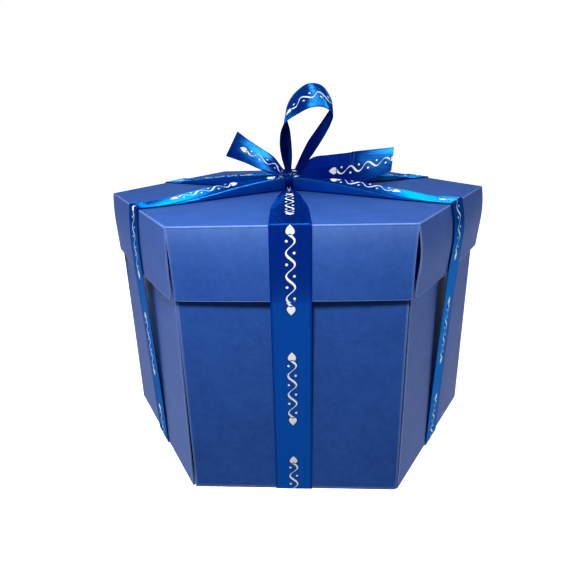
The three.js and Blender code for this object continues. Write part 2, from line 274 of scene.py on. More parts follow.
def shade(colour: Colour, share: float) -> Colour:
    """A colour times a share."""
    return tuple(c * share for c in colour)


@dataclass(frozen=True)
class Finish:
    """What a surface is covered with. Each kind of finish paints its own graph."""

    name: str

    def material(self) -> bpy.types.Material:
        """Builds the material.

        Returns:
            The material.
        """
        made = bpy.data.materials.new(self.name)
        made.use_nodes = True
        self.paint(NodeGraph(made.node_tree))
        return made

    def paint(self, graph: NodeGraph) -> None:
        """Builds the graph."""
        raise NotImplementedError


@dataclass(frozen=True)
class BoardFinish(Finish):
    """Dyed paperboard: fibres, faint clouds of colour, and a paler colour that is wear on edges and
    rims and painted highlight along creases and below a flap's crease.
    """

    colour: Colour
    worn: Colour
    roughness: float = 0.72
    gloss: float = 0.08
    clouds: float = 0.34
    fibres: float = 0.12
    wear: float = 0.8
    relief: float = 0.03
    fibre_scale: float = 2600.0
    cloud_scale: float = 55.0
    mottle_scale: float = 260.0
    rubbing_scale: float = 420.0

    def paint(self, graph: NodeGraph) -> None:
        """Builds the graph.

        Args:
            graph: The material's empty graph.
        """
        where = graph.here()
        fibre = graph.noise(where, self.fibre_scale, 3.0, 0.65)
        mottle = graph.noise(where, self.mottle_scale, 3.0, 0.7)
        cloud = graph.noise(where, self.cloud_scale, 4.0, 0.6) * 0.45 + mottle * 0.55
        # the pale mark: real wear on edges and rims, painted highlight along creases and below a
        # flap's crease
        fold = graph.attribute("fold")
        rubbed = graph.noise(where, self.rubbing_scale, 3.0, 0.6)
        dark = shade(self.colour, 1 - self.clouds)
        pale = tuple(min(1.0, c * (1 + self.clouds) + 0.004) for c in self.colour)
        colour = graph.mix(graph.clamp(cloud * 1.2 + fibre * self.fibres * 4 - 0.4), dark, pale)
        worn = graph.clamp(fold * (rubbed * 0.8 + 0.55) * self.wear)
        sockets = {
            "Base Color": graph.mix(worn, colour, self.worn),
            "Roughness": graph.clamp(self.roughness + (fibre - 0.5) * 0.12 - fold * 0.12),
            "Specular IOR Level": self.gloss,
            "Normal": graph.bump(fibre + cloud * 0.4, self.relief * MM, 0.55),
        }
        graph.end(graph.principled(sockets))


@dataclass(frozen=True)
class CutEdgeFinish(Finish):
    """The cut edge of a paperboard, where its paler core shows."""

    colour: Colour
    roughness: float = 0.85
    relief: float = 0.05
    fluff_scale: float = 1900.0

    def paint(self, graph: NodeGraph) -> None:
        """Builds the graph.

        Args:
            graph: The material's empty graph.
        """
        fluff = graph.noise(graph.here(), self.fluff_scale, 3.0, 0.7)
        sockets = {
            "Base Color": graph.mix(fluff, shade(self.colour, 0.72), self.colour),
            "Roughness": self.roughness,
            "Normal": graph.bump(fluff, self.relief * MM, 0.6),
        }
        graph.end(graph.principled(sockets))


@dataclass(frozen=True)
class CardFinish(Finish):
    """A photo mat: pale card, a pressed frame line and four slits for a photograph's corners."""

    colour: Colour
    line: Colour
    width: float
    height: float
    line_inset: float = 5.0
    line_width: float = 0.5
    slit_inset: float = 14.0
    slit_length: float = 12.0
    slit_half_width: float = 0.45
    roughness: float = 0.8
    relief: float = 0.08
    grain_scale: float = 1500.0

    def paint(self, graph: NodeGraph) -> None:
        """Builds the graph, on the card's own UV map in metres from its middle.

        Args:
            graph: The material's empty graph.
        """
        _, x, y = graph.on_sheet()
        from_side, from_end = self.width / 2 - abs(x), self.height / 2 - abs(y)
        off_line = abs(graph.maths("MINIMUM", from_side, from_end) - self.line_inset)
        line = graph.clamp((self.line_width / 2 - off_line) * 6.0 + 0.5)
        off_slit = abs(from_side + from_end - 2 * self.slit_inset)
        along = abs(from_side - from_end)
        slit = graph.clamp((self.slit_half_width - off_slit) * 5.0 + 0.5)
        slit = slit * graph.clamp((self.slit_length - along) * 3.0)
        grain = graph.noise(graph.here(), self.grain_scale, 3.0, 0.6)
        colour = graph.mix(line, graph.mix(grain, shade(self.colour, 0.93), self.colour), self.line)
        sockets = {
            # painted shade: the slits are coloured dark for the shade inside the cuts
            "Base Color": graph.mix(slit, colour, shade(self.line, 0.25)),
            "Roughness": self.roughness,
            "Normal": graph.bump(grain * 0.25 - line - slit, self.relief * MM, 0.7),
        }
        graph.end(graph.principled(sockets))


@dataclass(frozen=True)
class Motif:
    """The ribbon's white print: a vine of waves and dots between two small hearts."""

    repeat: float = 68.0
    length: float = 47.0
    wave_height: float = 2.2
    waves: int = 3
    stroke: float = 0.42
    stroke_change: float = 0.22
    dot_radius: float = 0.7
    dot_offset: float = 1.9
    heart_size: float = 2.2
    heart_room: float = 5.6

    def depth(self, graph: NodeGraph, across: Signal, along: Signal) -> Signal:
        """How far inside the printed shapes a place is, less than nothing outside them.

        Args:
            graph: The material's graph.
            across: Millimetres from the ribbon's middle.
            along: Millimetres along the ribbon.

        Returns:
            Millimetres.
        """
        vine_length = self.length - 2 * self.heart_room
        place = along % self.repeat
        run = place - self.heart_room
        step = vine_length / self.waves
        turn = run * (2 * math.pi / step)
        wave = graph.maths("SINE", turn) * self.wave_height
        lean = graph.maths("COSINE", turn)
        slope = lean * (self.wave_height * 2 * math.pi / step)
        off = abs(across - wave) / graph.maths("SQRT", slope * slope + 1.0)
        vine = lean * self.stroke_change + self.stroke - off
        bead = graph.maths("SIGN", wave) * self.dot_offset + across
        bead_run = run % (step / 2) - step / 4
        dots = self.dot_radius - graph.maths("SQRT", bead * bead + bead_run * bead_run)
        ends = graph.maths("MINIMUM", run, vine_length - run)
        vine = graph.maths("MINIMUM", graph.maths("MAXIMUM", vine, dots), ends)
        first = self._heart(graph, across, place - self.heart_size)
        last = self._heart(graph, across, self.length - self.heart_size - place)
        return graph.maths("MAXIMUM", vine, graph.maths("MAXIMUM", first, last))

    def _heart(self, graph: NodeGraph, across: Signal, along: Signal) -> Signal:
        """How far inside one small heart a place is.

        Args:
            graph: The material's graph.
            across: Millimetres from the ribbon's middle.
            along: Millimetres along the ribbon from the heart's own place.

        Returns:
            Millimetres.
        """
        x, y = abs(across / self.heart_size), along / self.heart_size
        lift = y - graph.maths("SQRT", x + 0.0) * 0.72
        return (1.0 - graph.maths("SQRT", x * x + lift * lift)) * self.heart_size * 0.6


@dataclass(frozen=True)
class SatinFinish(Finish):
    """Woven satin ribbon: a deep dye under long fine threads whose gloss takes the dye's brightest
    tint, and a raised white print on its right side."""

    colour: Colour
    gloss: Colour
    motif: Motif | None = None
    gloss_share: float = 0.24
    edge_gloss: float = 0.0
    top_gloss: float = 0.7
    roughness: float = 0.21
    dye_roughness: float = 0.6
    thread_scale: Place = (3600.0, 90.0, 1.0)
    streak_scale: Place = (700.0, 22.0, 1.0)
    thread_depth: float = 1.2
    relief: float = 0.07
    width: float = 21.0
    selvedge: float = 1.1
    halo: float = 0.35
    glancing_tint: Colour = (0.25, 0.7, 1.0)
    print_colour: Colour = (0.97, 0.98, 1.0)

    def paint(self, graph: NodeGraph) -> None:
        """Builds the graph, on the ribbon's own UV map in metres across and along it.

        Args:
            graph: The material's empty graph.
        """
        place, across, along = graph.on_sheet()
        threads = graph.streaks(place, self.thread_scale, 1.0)
        streaks = graph.streaks(place, self.streak_scale, 3.0)
        selvedge = graph.clamp((abs(across) - (self.width / 2 - self.selvedge)) * 3.0)
        colour = graph.mix(graph.clamp(streaks * 1.4 - 0.2), shade(self.colour, 0.7), self.colour)
        facing = graph.node("ShaderNodeLayerWeight", {}, {"Blend": 0.5}, output="Facing")
        # painted sheen: more gloss where the satin faces up, standing in for the sky it catches there
        edge = graph.attribute("lying") * self.top_gloss + (self.edge_gloss - self.gloss_share)
        shine = self.gloss_share + facing**1.5 * edge
        shine = shine * (0.75 + streaks * 0.5) * (1.0 - selvedge * 0.45)
        height = threads * self.thread_depth + streaks * 0.6 + selvedge * 0.8
        if self.motif:
            depth = self.motif.depth(graph, across, along)
            printed = graph.clamp(depth * 6.0 + 0.5)
            # painted shadow: a dark ring around the raised print
            ring = graph.clamp((depth + self.halo) * 5.0 + 0.5)
            colour = graph.mix(ring * 0.6, colour, shade(self.colour, 0.25))
            colour = graph.mix(printed, colour, self.print_colour)
            shine = shine * (1.0 - ring * 0.9)
            height = height * (1.0 - ring) + printed * 1.5
        relief = graph.bump(height, self.relief * MM, 0.8)
        dye = {
            "Base Color": colour,
            "Roughness": self.dye_roughness,
            "Specular IOR Level": 0.0,
            "Normal": relief,
        }
        gloss = {
            "Base Color": (*self.gloss, 1.0),
            "Specular Tint": (*self.glancing_tint, 1.0),
            "Metallic": 1.0,
            "Roughness": graph.clamp(self.roughness + (streaks - 0.5) * 0.12),
            "Normal": relief,
        }
        both = {0: graph.clamp(shine), 1: graph.principled(dye), 2: graph.principled(gloss)}
        graph.end(graph.node("ShaderNodeMixShader", {}, both))


@dataclass(frozen=True)
class GlowFinish(Finish):
    """Pale and glowing: the studio's floor with its faint grain, or its sweep, which only glows."""

    colour: Colour | None = None
    glow: float = 1.0
    grain_scale: float = 300.0

    def paint(self, graph: NodeGraph) -> None:
        """Builds the graph.

        Args:
            graph: The material's empty graph.
        """
        if self.colour is None:
            glow = {"Color": (*WHITE, 1.0), "Strength": self.glow}
            graph.end(graph.node("ShaderNodeEmission", {}, glow))
            return
        grain = graph.noise(graph.here(), self.grain_scale)
        sockets = {
            "Base Color": graph.mix(grain, shade(self.colour, 0.985), self.colour),
            "Roughness": 0.7,
            "Specular IOR Level": 0.2,
            "Emission Color": (*WHITE, 1.0),
            "Emission Strength": self.glow,
        }
        graph.end(graph.principled(sockets))


# ---- Meshes ----


def linked(name: str, data: bpy.types.ID) -> bpy.types.Object:
    """A new object in the scene.

    Args:
        name: The object's name.
        data: Its mesh, lamp or camera.

    Returns:
        The object.
    """
    made = bpy.data.objects.new(name, data)
    bpy.context.scene.collection.objects.link(made)
    return made


def from_bmesh(name: str, bm: bmesh.types.BMesh, materials: Materials) -> bpy.types.Object:
    """A new object from a bmesh, which is freed.

    Args:
        name: The object's name.
        bm: The bmesh.
        materials: The material slots.

    Returns:
        The object.
    """
    mesh = bpy.data.meshes.new(name)
    bm.to_mesh(mesh)
    bm.free()
    for material in materials:
        mesh.materials.append(material)
    return linked(name, mesh)


def evaluated(made: bpy.types.Object) -> bpy.types.Mesh:
    """An object's mesh with its modifiers worked in."""
    graph = bpy.context.evaluated_depsgraph_get()
    return bpy.data.meshes.new_from_object(made.evaluated_get(graph))


def settle(made: bpy.types.Object, slot: str, body: str, *nodes: str) -> None:
    """Has an object stand for nodes of the frame and ride on a body.

    Args:
        made: The object.
        slot: The slot's name. Not used.
        body: The body that it rides on.
        nodes: The nodes that it stands for, if any.
    """
    if nodes:
        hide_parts(*nodes)
    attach(made, body)
    log.info("%s rides on %s", made.name, body)


@dataclass
class Patch:
    """A grid of points on the outer face of a sheet, with each one's place on the flat sheet and its
    share of pale wear and painted highlight. Columns run to the right and rows up as seen from that
    face."""

    points: np.ndarray
    flat: np.ndarray
    fold: np.ndarray | None = None

    @classmethod
    def of(cls, rows: Sequence[tuple[np.ndarray, ...]], turn: float = 0.0) -> "Patch":
        """A patch from rows of points, flat places and folds.

        Args:
            rows: Each row's points, their places on the flat sheet and, where it has them, folds.
            turn: How far the patch is turned about the box's upright axis, in degrees.

        Returns:
            The patch.
        """
        points, *rest = (np.array(part) for part in zip(*rows))
        return cls(turned(points, turn), *rest)

    def normals(self) -> np.ndarray:
        """The outward direction at each point."""
        normal = np.cross(np.gradient(self.points, axis=1), np.gradient(self.points, axis=0))
        return normal / np.maximum(np.linalg.norm(normal, axis=2, keepdims=True), 1e-12)


def spread(*values: np.ndarray | float) -> np.ndarray:
    """Points from their numbers along each axis, of which some may be the same for all."""
    return np.stack(np.broadcast_arrays(*values), -1).astype(float)


def quads(a: np.ndarray, b: np.ndarray) -> np.ndarray:
    """Faces between two lines of corner numbers."""
    return np.stack([a[:-1], a[1:], b[1:], b[:-1]], -1)


def mesh_object(
    name: str,
    vertices: np.ndarray,
    faces: Sequence[Sequence[int]],
    materials: Materials,
    face_materials: Sequence[int],
    marks: dict[str, np.ndarray],
    flat: np.ndarray | None = None,
) -> bpy.types.Object:
    """Makes a smooth mesh object at the origin.

    Args:
        name: The object's name.
        vertices: Points in millimetres.
        faces: Corner numbers of each face, anticlockwise from outside.
        materials: The material slots.
        face_materials: Each face's slot number.
        marks: The numbers that each vertex carries for the materials.
        flat: Each vertex's place on the flat sheet, in millimetres, for the UV map.

    Returns:
        The object.
    """
    mesh = bpy.data.meshes.new(name)
    mesh.from_pydata((np.asarray(vertices) * MM).tolist(), [], [list(f) for f in faces])
    for material in materials:
        mesh.materials.append(material)
    mesh.polygons.foreach_set("material_index", np.asarray(face_materials, np.int32))
    if flat is not None:
        corners = np.zeros(len(mesh.loops), np.int32)
        mesh.loops.foreach_get("vertex_index", corners)
        layer = mesh.uv_layers.new(name="Sheet")
        layer.data.foreach_set("uv", (flat[corners] * MM).astype(np.float32).ravel())
    for mark, values in marks.items():
        made = mesh.attributes.new(mark, "FLOAT", "POINT")
        made.data.foreach_set("value", values.astype(np.float32))
    mesh.polygons.foreach_set("use_smooth", np.ones(len(mesh.polygons), bool))
    mesh.validate()
    mesh.set_sharp_from_angle(angle=SHARP)
    return linked(name, mesh)


def closed_sheet(
    name: str, patch: Patch, thickness: float, materials: Materials
) -> bpy.types.Object:
    """A sheet of even thickness whose outer face is the patch.

    Args:
        name: The object's name.
        patch: The outer face.
        thickness: Millimetres, laid down behind the face.
        materials: The face's, the back's and the cut edge's material. The back's may be left out.

    Returns:
        The object.
    """
    normals = patch.normals()
    back = patch.points - normals * thickness
    vertices = np.concatenate([patch.points.reshape(-1, 3), back.reshape(-1, 3)])
    count = len(vertices) // 2
    marks = {} if patch.fold is None else {"fold": np.tile(patch.fold.reshape(-1), 2)}
    # how far each point faces up, which raises the satin's gloss there: painted sheen
    marks["lying"] = np.tile(np.clip(normals[..., 2], 0, 1).reshape(-1), 2)
    at = np.arange(count).reshape(patch.points.shape[:2])
    front = np.concatenate([quads(low, high) for low, high in zip(at[:-1], at[1:])])
    borders = (at[0], at[:, -1], at[-1, ::-1], at[::-1, 0])
    rims = [quads(line, line + count)[:, [0, 3, 2, 1]] for line in borders]
    faces = np.concatenate([front, front[:, ::-1] + count, *rims])
    slots = (0, len(materials) - 2, len(materials) - 1)
    numbers = np.repeat(slots, [len(front), len(front), len(faces) - 2 * len(front)])
    flat = np.tile(patch.flat.reshape(-1, 2), (2, 1))
    return mesh_object(name, vertices, faces, materials, numbers, marks, flat)


def smooth_path(places: Places, steps: int) -> np.ndarray:
    """A curve through a few places that doesn't overshoot between uneven ones.

    Args:
        places: The places.
        steps: How many steps the curve is cut into.

    Returns:
        The steps + 1 points of the curve.
    """
    at = np.asarray(places, float)
    at = np.vstack([2 * at[0] - at[1], at, 2 * at[-1] - at[-2]])
    found = []
    for share in np.linspace(0, len(at) - 3, steps + 1):
        i = min(int(share), len(at) - 4)
        w = share - i
        p0, p1, p2, p3 = at[i : i + 4]
        pairs = ((p0, p1), (p1, p2), (p2, p3))
        d0, d1, d2 = (max(np.linalg.norm(q - p), 1e-9) ** 0.5 for p, q in pairs)
        m1 = ((p1 - p0) / d0 - (p2 - p0) / (d0 + d1) + (p2 - p1) / d1) * d1
        m2 = ((p2 - p1) / d1 - (p3 - p1) / (d1 + d2) + (p3 - p2) / d2) * d1
        c2 = -3 * p1 + 3 * p2 - 2 * m1 - m2
        c3 = 2 * p1 - 2 * p2 + m1 + m2
        found.append(p1 + m1 * w + c2 * w**2 + c3 * w**3)
    return np.array(found)


def travelled(points: np.ndarray) -> np.ndarray:
    """How far along the line through the points each one is."""
    steps = np.linalg.norm(np.diff(points, axis=0), axis=1)
    return np.concatenate([[0.0], np.cumsum(steps)])


def eased(value: np.ndarray | float) -> np.ndarray | float:
    """0 to 1 with a smooth start and end."""
    t = np.clip(value, 0, 1)
    return t * t * (3 - 2 * t)


def edge_dense(count: int, half: float, close: Sequence[float] = (0.5, 1.4, 3.2)) -> np.ndarray:
    """Places from -1 to 1, with extra ones close to both ends, where edges are worn.

    Args:
        count: How many even steps lie between the close ones.
        half: Half the width in millimetres.
        close: Distances from the edge in millimetres.

    Returns:
        The places.
    """
    near = [1 - c / half for c in close]
    inner = np.linspace(-near[-1], near[-1], count + 1)
    return np.array([-1, *[-n for n in near[:-1]], *inner, *reversed(near[:-1]), 1])


def rubbed(shares: np.ndarray, half: float, width: float) -> np.ndarray:
    """How worn a board is at places across it, 1 at both side edges and 0 from a width inwards."""
    return np.clip(1 - (1 - np.abs(shares)) * half / width, 0, 1)


def rounding(radius: float, distance: float) -> float:
    """How far a rounded corner has cut in, at a distance from the edge that ends it."""
    return radius * (1 - math.sqrt(max(0.0, 1 - max(0.0, 1 - distance / radius) ** 2)))


# ---- Paperboard ----


@dataclass(frozen=True)
class FlapCut:
    """How far a flap's side edges are cut back at their hollowest, at their free end (foot) and at
    their creased end (head), how far it swells outwards in between, and how much painted highlight
    lies below its crease. A wall stands the other way up, so its foot is at its crease and its head
    is free."""

    left: float = 0.0
    right: float = 0.0
    left_foot: float = 0.0
    right_foot: float = 0.0
    left_swell: float = 0.0
    right_swell: float = 0.0
    left_head: float = 0.0
    right_head: float = 0.0
    haze: float = 0.0

    def edges(self, share: float, foot_power: float) -> tuple[float, float]:
        """How far the side edges are cut back.

        Args:
            share: The share of the flap's height.
            foot_power: How fast the cut at the foot fades upwards.

        Returns:
            Millimetres at the left and at the right edge.
        """
        hollow, foot = math.sin(min(share, 1.0) * math.pi), (1 - share) ** foot_power
        left = self.left * hollow + self.left_foot * foot + self.left_head * share
        return left, self.right * hollow + self.right_foot * foot + self.right_head * share

    def swell(self, across: np.ndarray | float, up: float) -> np.ndarray | float:
        """How far the flap swells outwards, which is most a little above its middle.

        Args:
            across: The place across it, from -1 to 1.
            up: The place up it, from 0 to 1.

        Returns:
            Millimetres.
        """
        share = (np.asarray(across) + 1) / 2
        most = self.left_swell + (self.right_swell - self.left_swell) * share
        return most * math.sin(min(max(up, 0.0), 1.0) ** 1.4 * math.pi)


@dataclass
class Board:
    """The paperboard that the box is folded from."""

    thickness: float = 0.8
    glue_gap: float = 0.3
    crease_gap: float = 0.3
    crease_radius: float = 0.9


@dataclass
class FoldedHexagon:
    """A hexagonal panel with six flaps creased from it, as one board: a lid, or a tray if it is
    turned over. The panel's outer face is at z = 0 and the flaps run down."""

    name: str
    board: Board
    apothem: float
    depth: float
    cuts: dict[Side, FlapCut]
    slit: float = 0.25
    bow: float = 0.25
    corner_radius: float = 0.8
    rows: int = 8
    columns: int = 8
    crease_slit: float = 0.12
    slit_closing: float = 2.2
    crease_wear: float = 0.7
    rim_wear: float = 0.7
    rim_depth: float = 0.3
    side_wear: float = 0.4
    wear_width: float = 0.8
    haze_fade: float = 9.0
    crease_rows: Sequence[float] = (1.5, 0.5, 0.0)
    rings: Sequence[float] = (0.9, 0.78, 0.62, 0.45, 0.28, 0.12, 0.0)
    edge_rings: Sequence[float] = (1.2, 3.5)

    def flap(self, side: Side, shares: np.ndarray) -> Patch:
        """One flap's outer face from its free edge up over the crease.

        Args:
            side: The flap's side.
            shares: Places across it, from -1 to 1.

        Returns:
            The patch.
        """
        cut, crease, radius = self.cuts[side], self.board.crease_radius, self.corner_radius
        straight = self.depth - crease
        half = self.apothem * HALF_CORNER
        lines: list[tuple[float, float, float, float, float]] = []  # x, z, left, right, wear and painted highlight
        ups = [radius * (1 - math.cos(angle)) for angle in np.linspace(0, QUARTER, 6)]
        ups += list(np.linspace(radius, straight, self.rows + 1)[1:-1])
        ups += [straight - below for below in self.crease_rows]
        for up in ups:
            share = up / straight
            back = self.slit * min(1.0, (1 - share) * self.slit_closing)
            back += self.crease_slit + rounding(radius, up)
            left, right = cut.edges(share, 2)
            worn = self.rim_wear * (up < self.rim_depth)
            lines.append((0.0, up - self.depth, back + left, back + right, worn))
        for angle in np.linspace(0, QUARTER, 7)[1:]:
            gap = self.crease_slit * (1 - angle / QUARTER)
            x, z = crease * (math.cos(angle) - 1), crease * (math.sin(angle) - 1)
            # the crease's rounding is paled most at its middle: wear, and painted highlight along the
            # crease
            lines.append((x, z, gap, gap, math.sin(angle * 2) * self.crease_wear))
        side_wear = rubbed(shares, half, self.wear_width) * self.side_wear
        rows = []
        for x, z, left, right, worn in lines:
            share = min(1.0, (z + self.depth) / straight)
            width = (self.apothem + x) * HALF_CORNER
            y = -width + left + (shares + 1) / 2 * (2 * width - left - right)
            out = self.bow * (1 - (y / half) ** 2) * math.cos(share * QUARTER)
            out = out + cut.swell(y / half, share)
            # painted highlight: the flap is paler just below its crease, fading downwards
            haze = cut.haze * math.exp((z + crease) / self.haze_fade) if z < -crease else 0.0
            fold = np.maximum(side_wear, worn) + haze * (1 - worn)
            rows.append((spread(self.apothem + x + out, y, z), spread(y, z), fold))
        return Patch.of(rows, side.value)

    def build(self, height: float, upward: bool, materials: Materials) -> bpy.types.Object:
        """Makes the board.

        Args:
            height: Where the panel's outer face is.
            upward: True for a lid, whose panel is on top.
            materials: The face's and the cut edge's material.

        Returns:
            The object.
        """
        inner = self.apothem - self.board.crease_radius
        shares = edge_dense(self.columns, self.apothem * HALF_CORNER)
        bm = bmesh.new()
        fold = bm.verts.layers.float.new("fold")
        rings = [1.0, *(1 - e / inner for e in self.edge_rings), *self.rings]
        panel = np.array([spread(inner * r, shares * inner * r * HALF_CORNER, 0.0) for r in rings])
        for side in Side:
            top = Patch(side.place(panel), panel[..., :2], np.zeros(panel.shape[:2]))
            for patch in (self.flap(side, shares), top):
                verts = [[bm.verts.new(p * MM) for p in row] for row in patch.points]
                for row, worn in zip(verts, patch.fold):
                    for vert, value in zip(row, worn):
                        vert[fold] = value
                for low, high in zip(verts[:-1], verts[1:]):
                    for corners in zip(low[:-1], low[1:], high[1:], high[:-1]):
                        bm.faces.new(corners).smooth = True
        bmesh.ops.remove_doubles(bm, verts=bm.verts, dist=2e-6)
        bmesh.ops.dissolve_degenerate(bm, edges=bm.edges, dist=1e-7)
        lift = Matrix.Translation((0, 0, height * MM))
        turn = Matrix.Diagonal((1, 1, 1 if upward else -1, 1))
        bmesh.ops.transform(bm, matrix=lift @ turn, verts=bm.verts)
        if not upward:
            bmesh.ops.reverse_faces(bm, faces=bm.faces)
        made = from_bmesh(self.name, bm, materials)
        solid = made.modifiers.new("Board", "SOLIDIFY")
        solid.thickness, solid.offset = self.board.thickness * MM, -1
        solid.use_even_offset = True
        solid.material_offset_rim = len(materials) - 1
        mesh = evaluated(made)
        made.modifiers.clear()
        made.data = mesh
        mesh.set_sharp_from_angle(angle=SHARP)
        return made


@dataclass
class Lid:
    """The lid: one folded board with six free flaps."""

    board: Board
    side: float = 125.0
    skirt_depth: float = 39.5
    top: float = 160.7
    cuts: dict[Side, FlapCut] = field(
        default_factory=lambda: {
            # the front flap carries painted highlight below its crease
            Side.FRONT: FlapCut(0.3, 0.1, 1.3, 0.4, haze=0.3),
            Side.FRONT_RIGHT: FlapCut(-0.2, 0.3, 1.3, 0.2, 2.0, 1.6),
            Side.BACK_RIGHT: FlapCut(0.4, 0.4, 0.2, 0.3, 1.6, 0.8),
            Side.BACK: FlapCut(0.5, 0.6, 0.3, 0.2, 0.3, 0.5),
            Side.BACK_LEFT: FlapCut(0.4, 0.5, 0.2, 0.3, 0.7, 0.9),
            Side.FRONT_LEFT: FlapCut(0.4, 0.1, 0.2, 0.2, 0.9, 0.3),
        }
    )

    @property
    def apothem(self) -> float:
        """From the middle to a flap's outer face."""
        return self.side / (2 * HALF_CORNER)

    @property
    def skirt_bottom(self) -> float:
        """The height of the flaps' free edges."""
        return self.top - self.skirt_depth

    def build(self, materials: Materials) -> None:
        """Makes the lid.

        Args:
            materials: The face's and the cut edge's material.
        """
        shape = FoldedHexagon(
            "lid_shell", self.board, self.apothem, self.skirt_depth, self.cuts,
            slit=0.5, bow=1.3, corner_radius=2.0, rows=16, columns=14,
        )
        nodes = ["lid_top_panel", *(f"lid_flap_{side.label}" for side in Side)]
        settle(shape.build(self.top, True, materials), "lid_board", "lid", *nodes)


@dataclass
class WallLayer:
    """One layer of six walls around a base, with photo mats on the two outer ones."""

    layer: Layer
    board: Board
    outer_apothem: float = 105.553
    outer_height: float = 159.2
    outer_bottom: float = 0.4
    layer_step: float = 6.5
    height_step: float = 8.0
    layer_gap: float = 0.7
    slit: float = 0.75
    corner_radius: float = 1.5
    columns: int = 14
    rows: int = 11
    foot_radius: float = 0.75
    foot_rows: Sequence[float] = (1.2, 2.2, 5.0, 10.0)
    row_margin: float = 20.0
    foot_wear: float = 0.8
    rim_wear: float = 0.6
    rim_depth: float = 0.4
    wear_width: float = 1.2
    base_rounding: float = 0.08
    base_wear: float = 0.7
    base_wear_from: float = 0.985
    base_rings: Sequence[float] = (0.3, 0.6, 0.85)
    base_edge_ring: float = 1.5
    crease_thickness: float = 0.5
    crease_overlap: float = 0.9
    crease_side_gap: float = 1.0
    crease_start_rise: float = 0.1
    crease_end_rise: float = 0.12
    crease_end_inset: float = 0.3
    blend_insets: Sequence[float] = (1.9, 0.6)
    mat_margin: float = 9.0
    mat_side_gap: float = 0.4
    mat_thickness: float = 0.3
    mat_glue_gap: float = 0.1
    mat_corner_radius: float = 2.0
    mat_bevel: float = 0.07
    mat_bevel_from: float = 1.2  # radians, the least turn of an edge that is bevelled
    cuts: dict[Side, FlapCut] = field(default_factory=dict)

    @property
    def apothem(self) -> float:
        """From the middle to a wall's outer face."""
        return self.outer_apothem - self.layer.value * self.layer_step

    @property
    def height(self) -> float:
        """A wall's height."""
        return self.outer_height - self.layer.value * self.height_step

    @property
    def bottom(self) -> float:
        """The height of the walls' lower edges."""
        return self.outer_bottom + self.layer.value * (self.board.thickness + self.layer_gap)

    @property
    def base_bottom(self) -> float:
        """The height of the base's lower face."""
        return self.bottom + (self.board.glue_gap if self.layer is Layer.OUTER else 0.0)

    def wall(self, side: Side) -> Patch:
        """A wall's outer face, from the crease under it to its top edge.

        Args:
            side: The wall's side.

        Returns:
            The patch.
        """
        cut = self.cuts.get(side, FlapCut())
        half = self.apothem * HALF_CORNER
        shares = edge_dense(self.columns, half)
        angles = np.linspace(0, QUARTER, 5)
        lines: list[tuple[float, float, float]] = []  # x, up, wear
        for angle in angles:
            inset, rise = 1 - math.sin(angle), 1 - math.cos(angle)
            lines.append((-self.foot_radius * inset, self.foot_radius * rise, self.foot_wear))
        ends = (self.row_margin, self.height - self.row_margin)
        ups = [*self.foot_rows, *np.linspace(*ends, self.rows), self.height - self.row_margin / 2]
        ups += [self.height - self.corner_radius * (1 - math.sin(angle)) for angle in angles]
        for up in ups:
            rim = self.rim_wear * (self.height - up < self.rim_depth)
            lines.append((0.0, up, max(0.0, self.rim_wear - up / 3) + rim))
        side_wear = rubbed(shares, half, self.wear_width) * self.rim_wear
        rows = []
        for x, up, worn in lines:
            back = self.slit + rounding(self.corner_radius, self.height - up)
            left, right = (back + cut_back for cut_back in cut.edges(up / self.height, 1.5))
            y = -half + left + (shares + 1) / 2 * (2 * half - left - right)
            z = self.bottom + up
            rows.append((spread(self.apothem + x, y, z), spread(y, z), np.maximum(side_wear, worn)))
        return Patch.of(rows, side.value)

    def crease(self, side: Side) -> Patch:
        """The strip of board that bends between the base and a wall, seen from below.

        Args:
            side: The wall's side.

        Returns:
            The patch.
        """
        inside = self.apothem - self.board.thickness
        y = np.linspace(-1, 1, 5) * (inside * HALF_CORNER - self.crease_side_gap)
        x0 = inside - self.board.crease_gap - self.crease_overlap
        x1 = self.apothem - self.crease_end_inset
        z0, z1 = self.base_bottom + self.crease_start_rise, self.bottom + self.crease_end_rise
        rows = []
        for t in np.linspace(0, 1, 9):
            x = x0 + (x1 - x0) * t
            z = z0 + (z1 - z0) * eased(t)
            rows.append((spread(x, y, z), spread(y, x), np.full_like(y, self.foot_wear)))
        return Patch.of(rows, side.value)

    def base(self, materials: Materials) -> bpy.types.Object:
        """The layer's base: a hexagon of board with worn edges.

        Args:
            materials: The board's and its cut edge's material.

        Returns:
            The object, as rings from the middle of its lower face to the middle of its upper face.
        """
        apothem = self.apothem - self.board.thickness - self.board.crease_gap
        shares = np.linspace(-1, 1, 9)[:-1]
        edge = (1 - inset / apothem for inset in (self.base_edge_ring, self.base_rounding))
        low = [*((radius, 0.0) for radius in (*self.base_rings, *edge)), (1.0, self.base_rounding)]
        rings = low + [(radius, self.board.thickness - rise) for radius, rise in reversed(low)]
        count = len(Side) * len(shares)
        vertices = [[0.0, 0.0, 0.0], [0.0, 0.0, self.board.thickness]]
        fold = [0.0, 0.0]
        for radius, z in rings:
            out = apothem * radius
            for side in Side:
                vertices.extend(side.place(spread(out, shares * out * HALF_CORNER, z)))
            fold.extend([self.base_wear * (radius > self.base_wear_from)] * count)
        lines = [np.append(np.arange(count), 0) + 2 + count * i for i in range(len(rings))]
        faces = [(0, k, j) for j, k in zip(lines[0][:-1], lines[0][1:])]
        faces += [tuple(corners) for a, b in zip(lines[:-1], lines[1:]) for corners in quads(a, b)]
        faces += [(1, j, k) for j, k in zip(lines[-1][:-1], lines[-1][1:])]
        numbers = np.zeros(len(faces), int)
        rim = len(low) * count
        numbers[rim : rim + count] = len(materials) - 1
        name = f"{self.layer.label}_floor"
        points = np.array(vertices) + [0, 0, self.base_bottom]
        return mesh_object(name, points, faces, materials, numbers, {"fold": np.array(fold)})

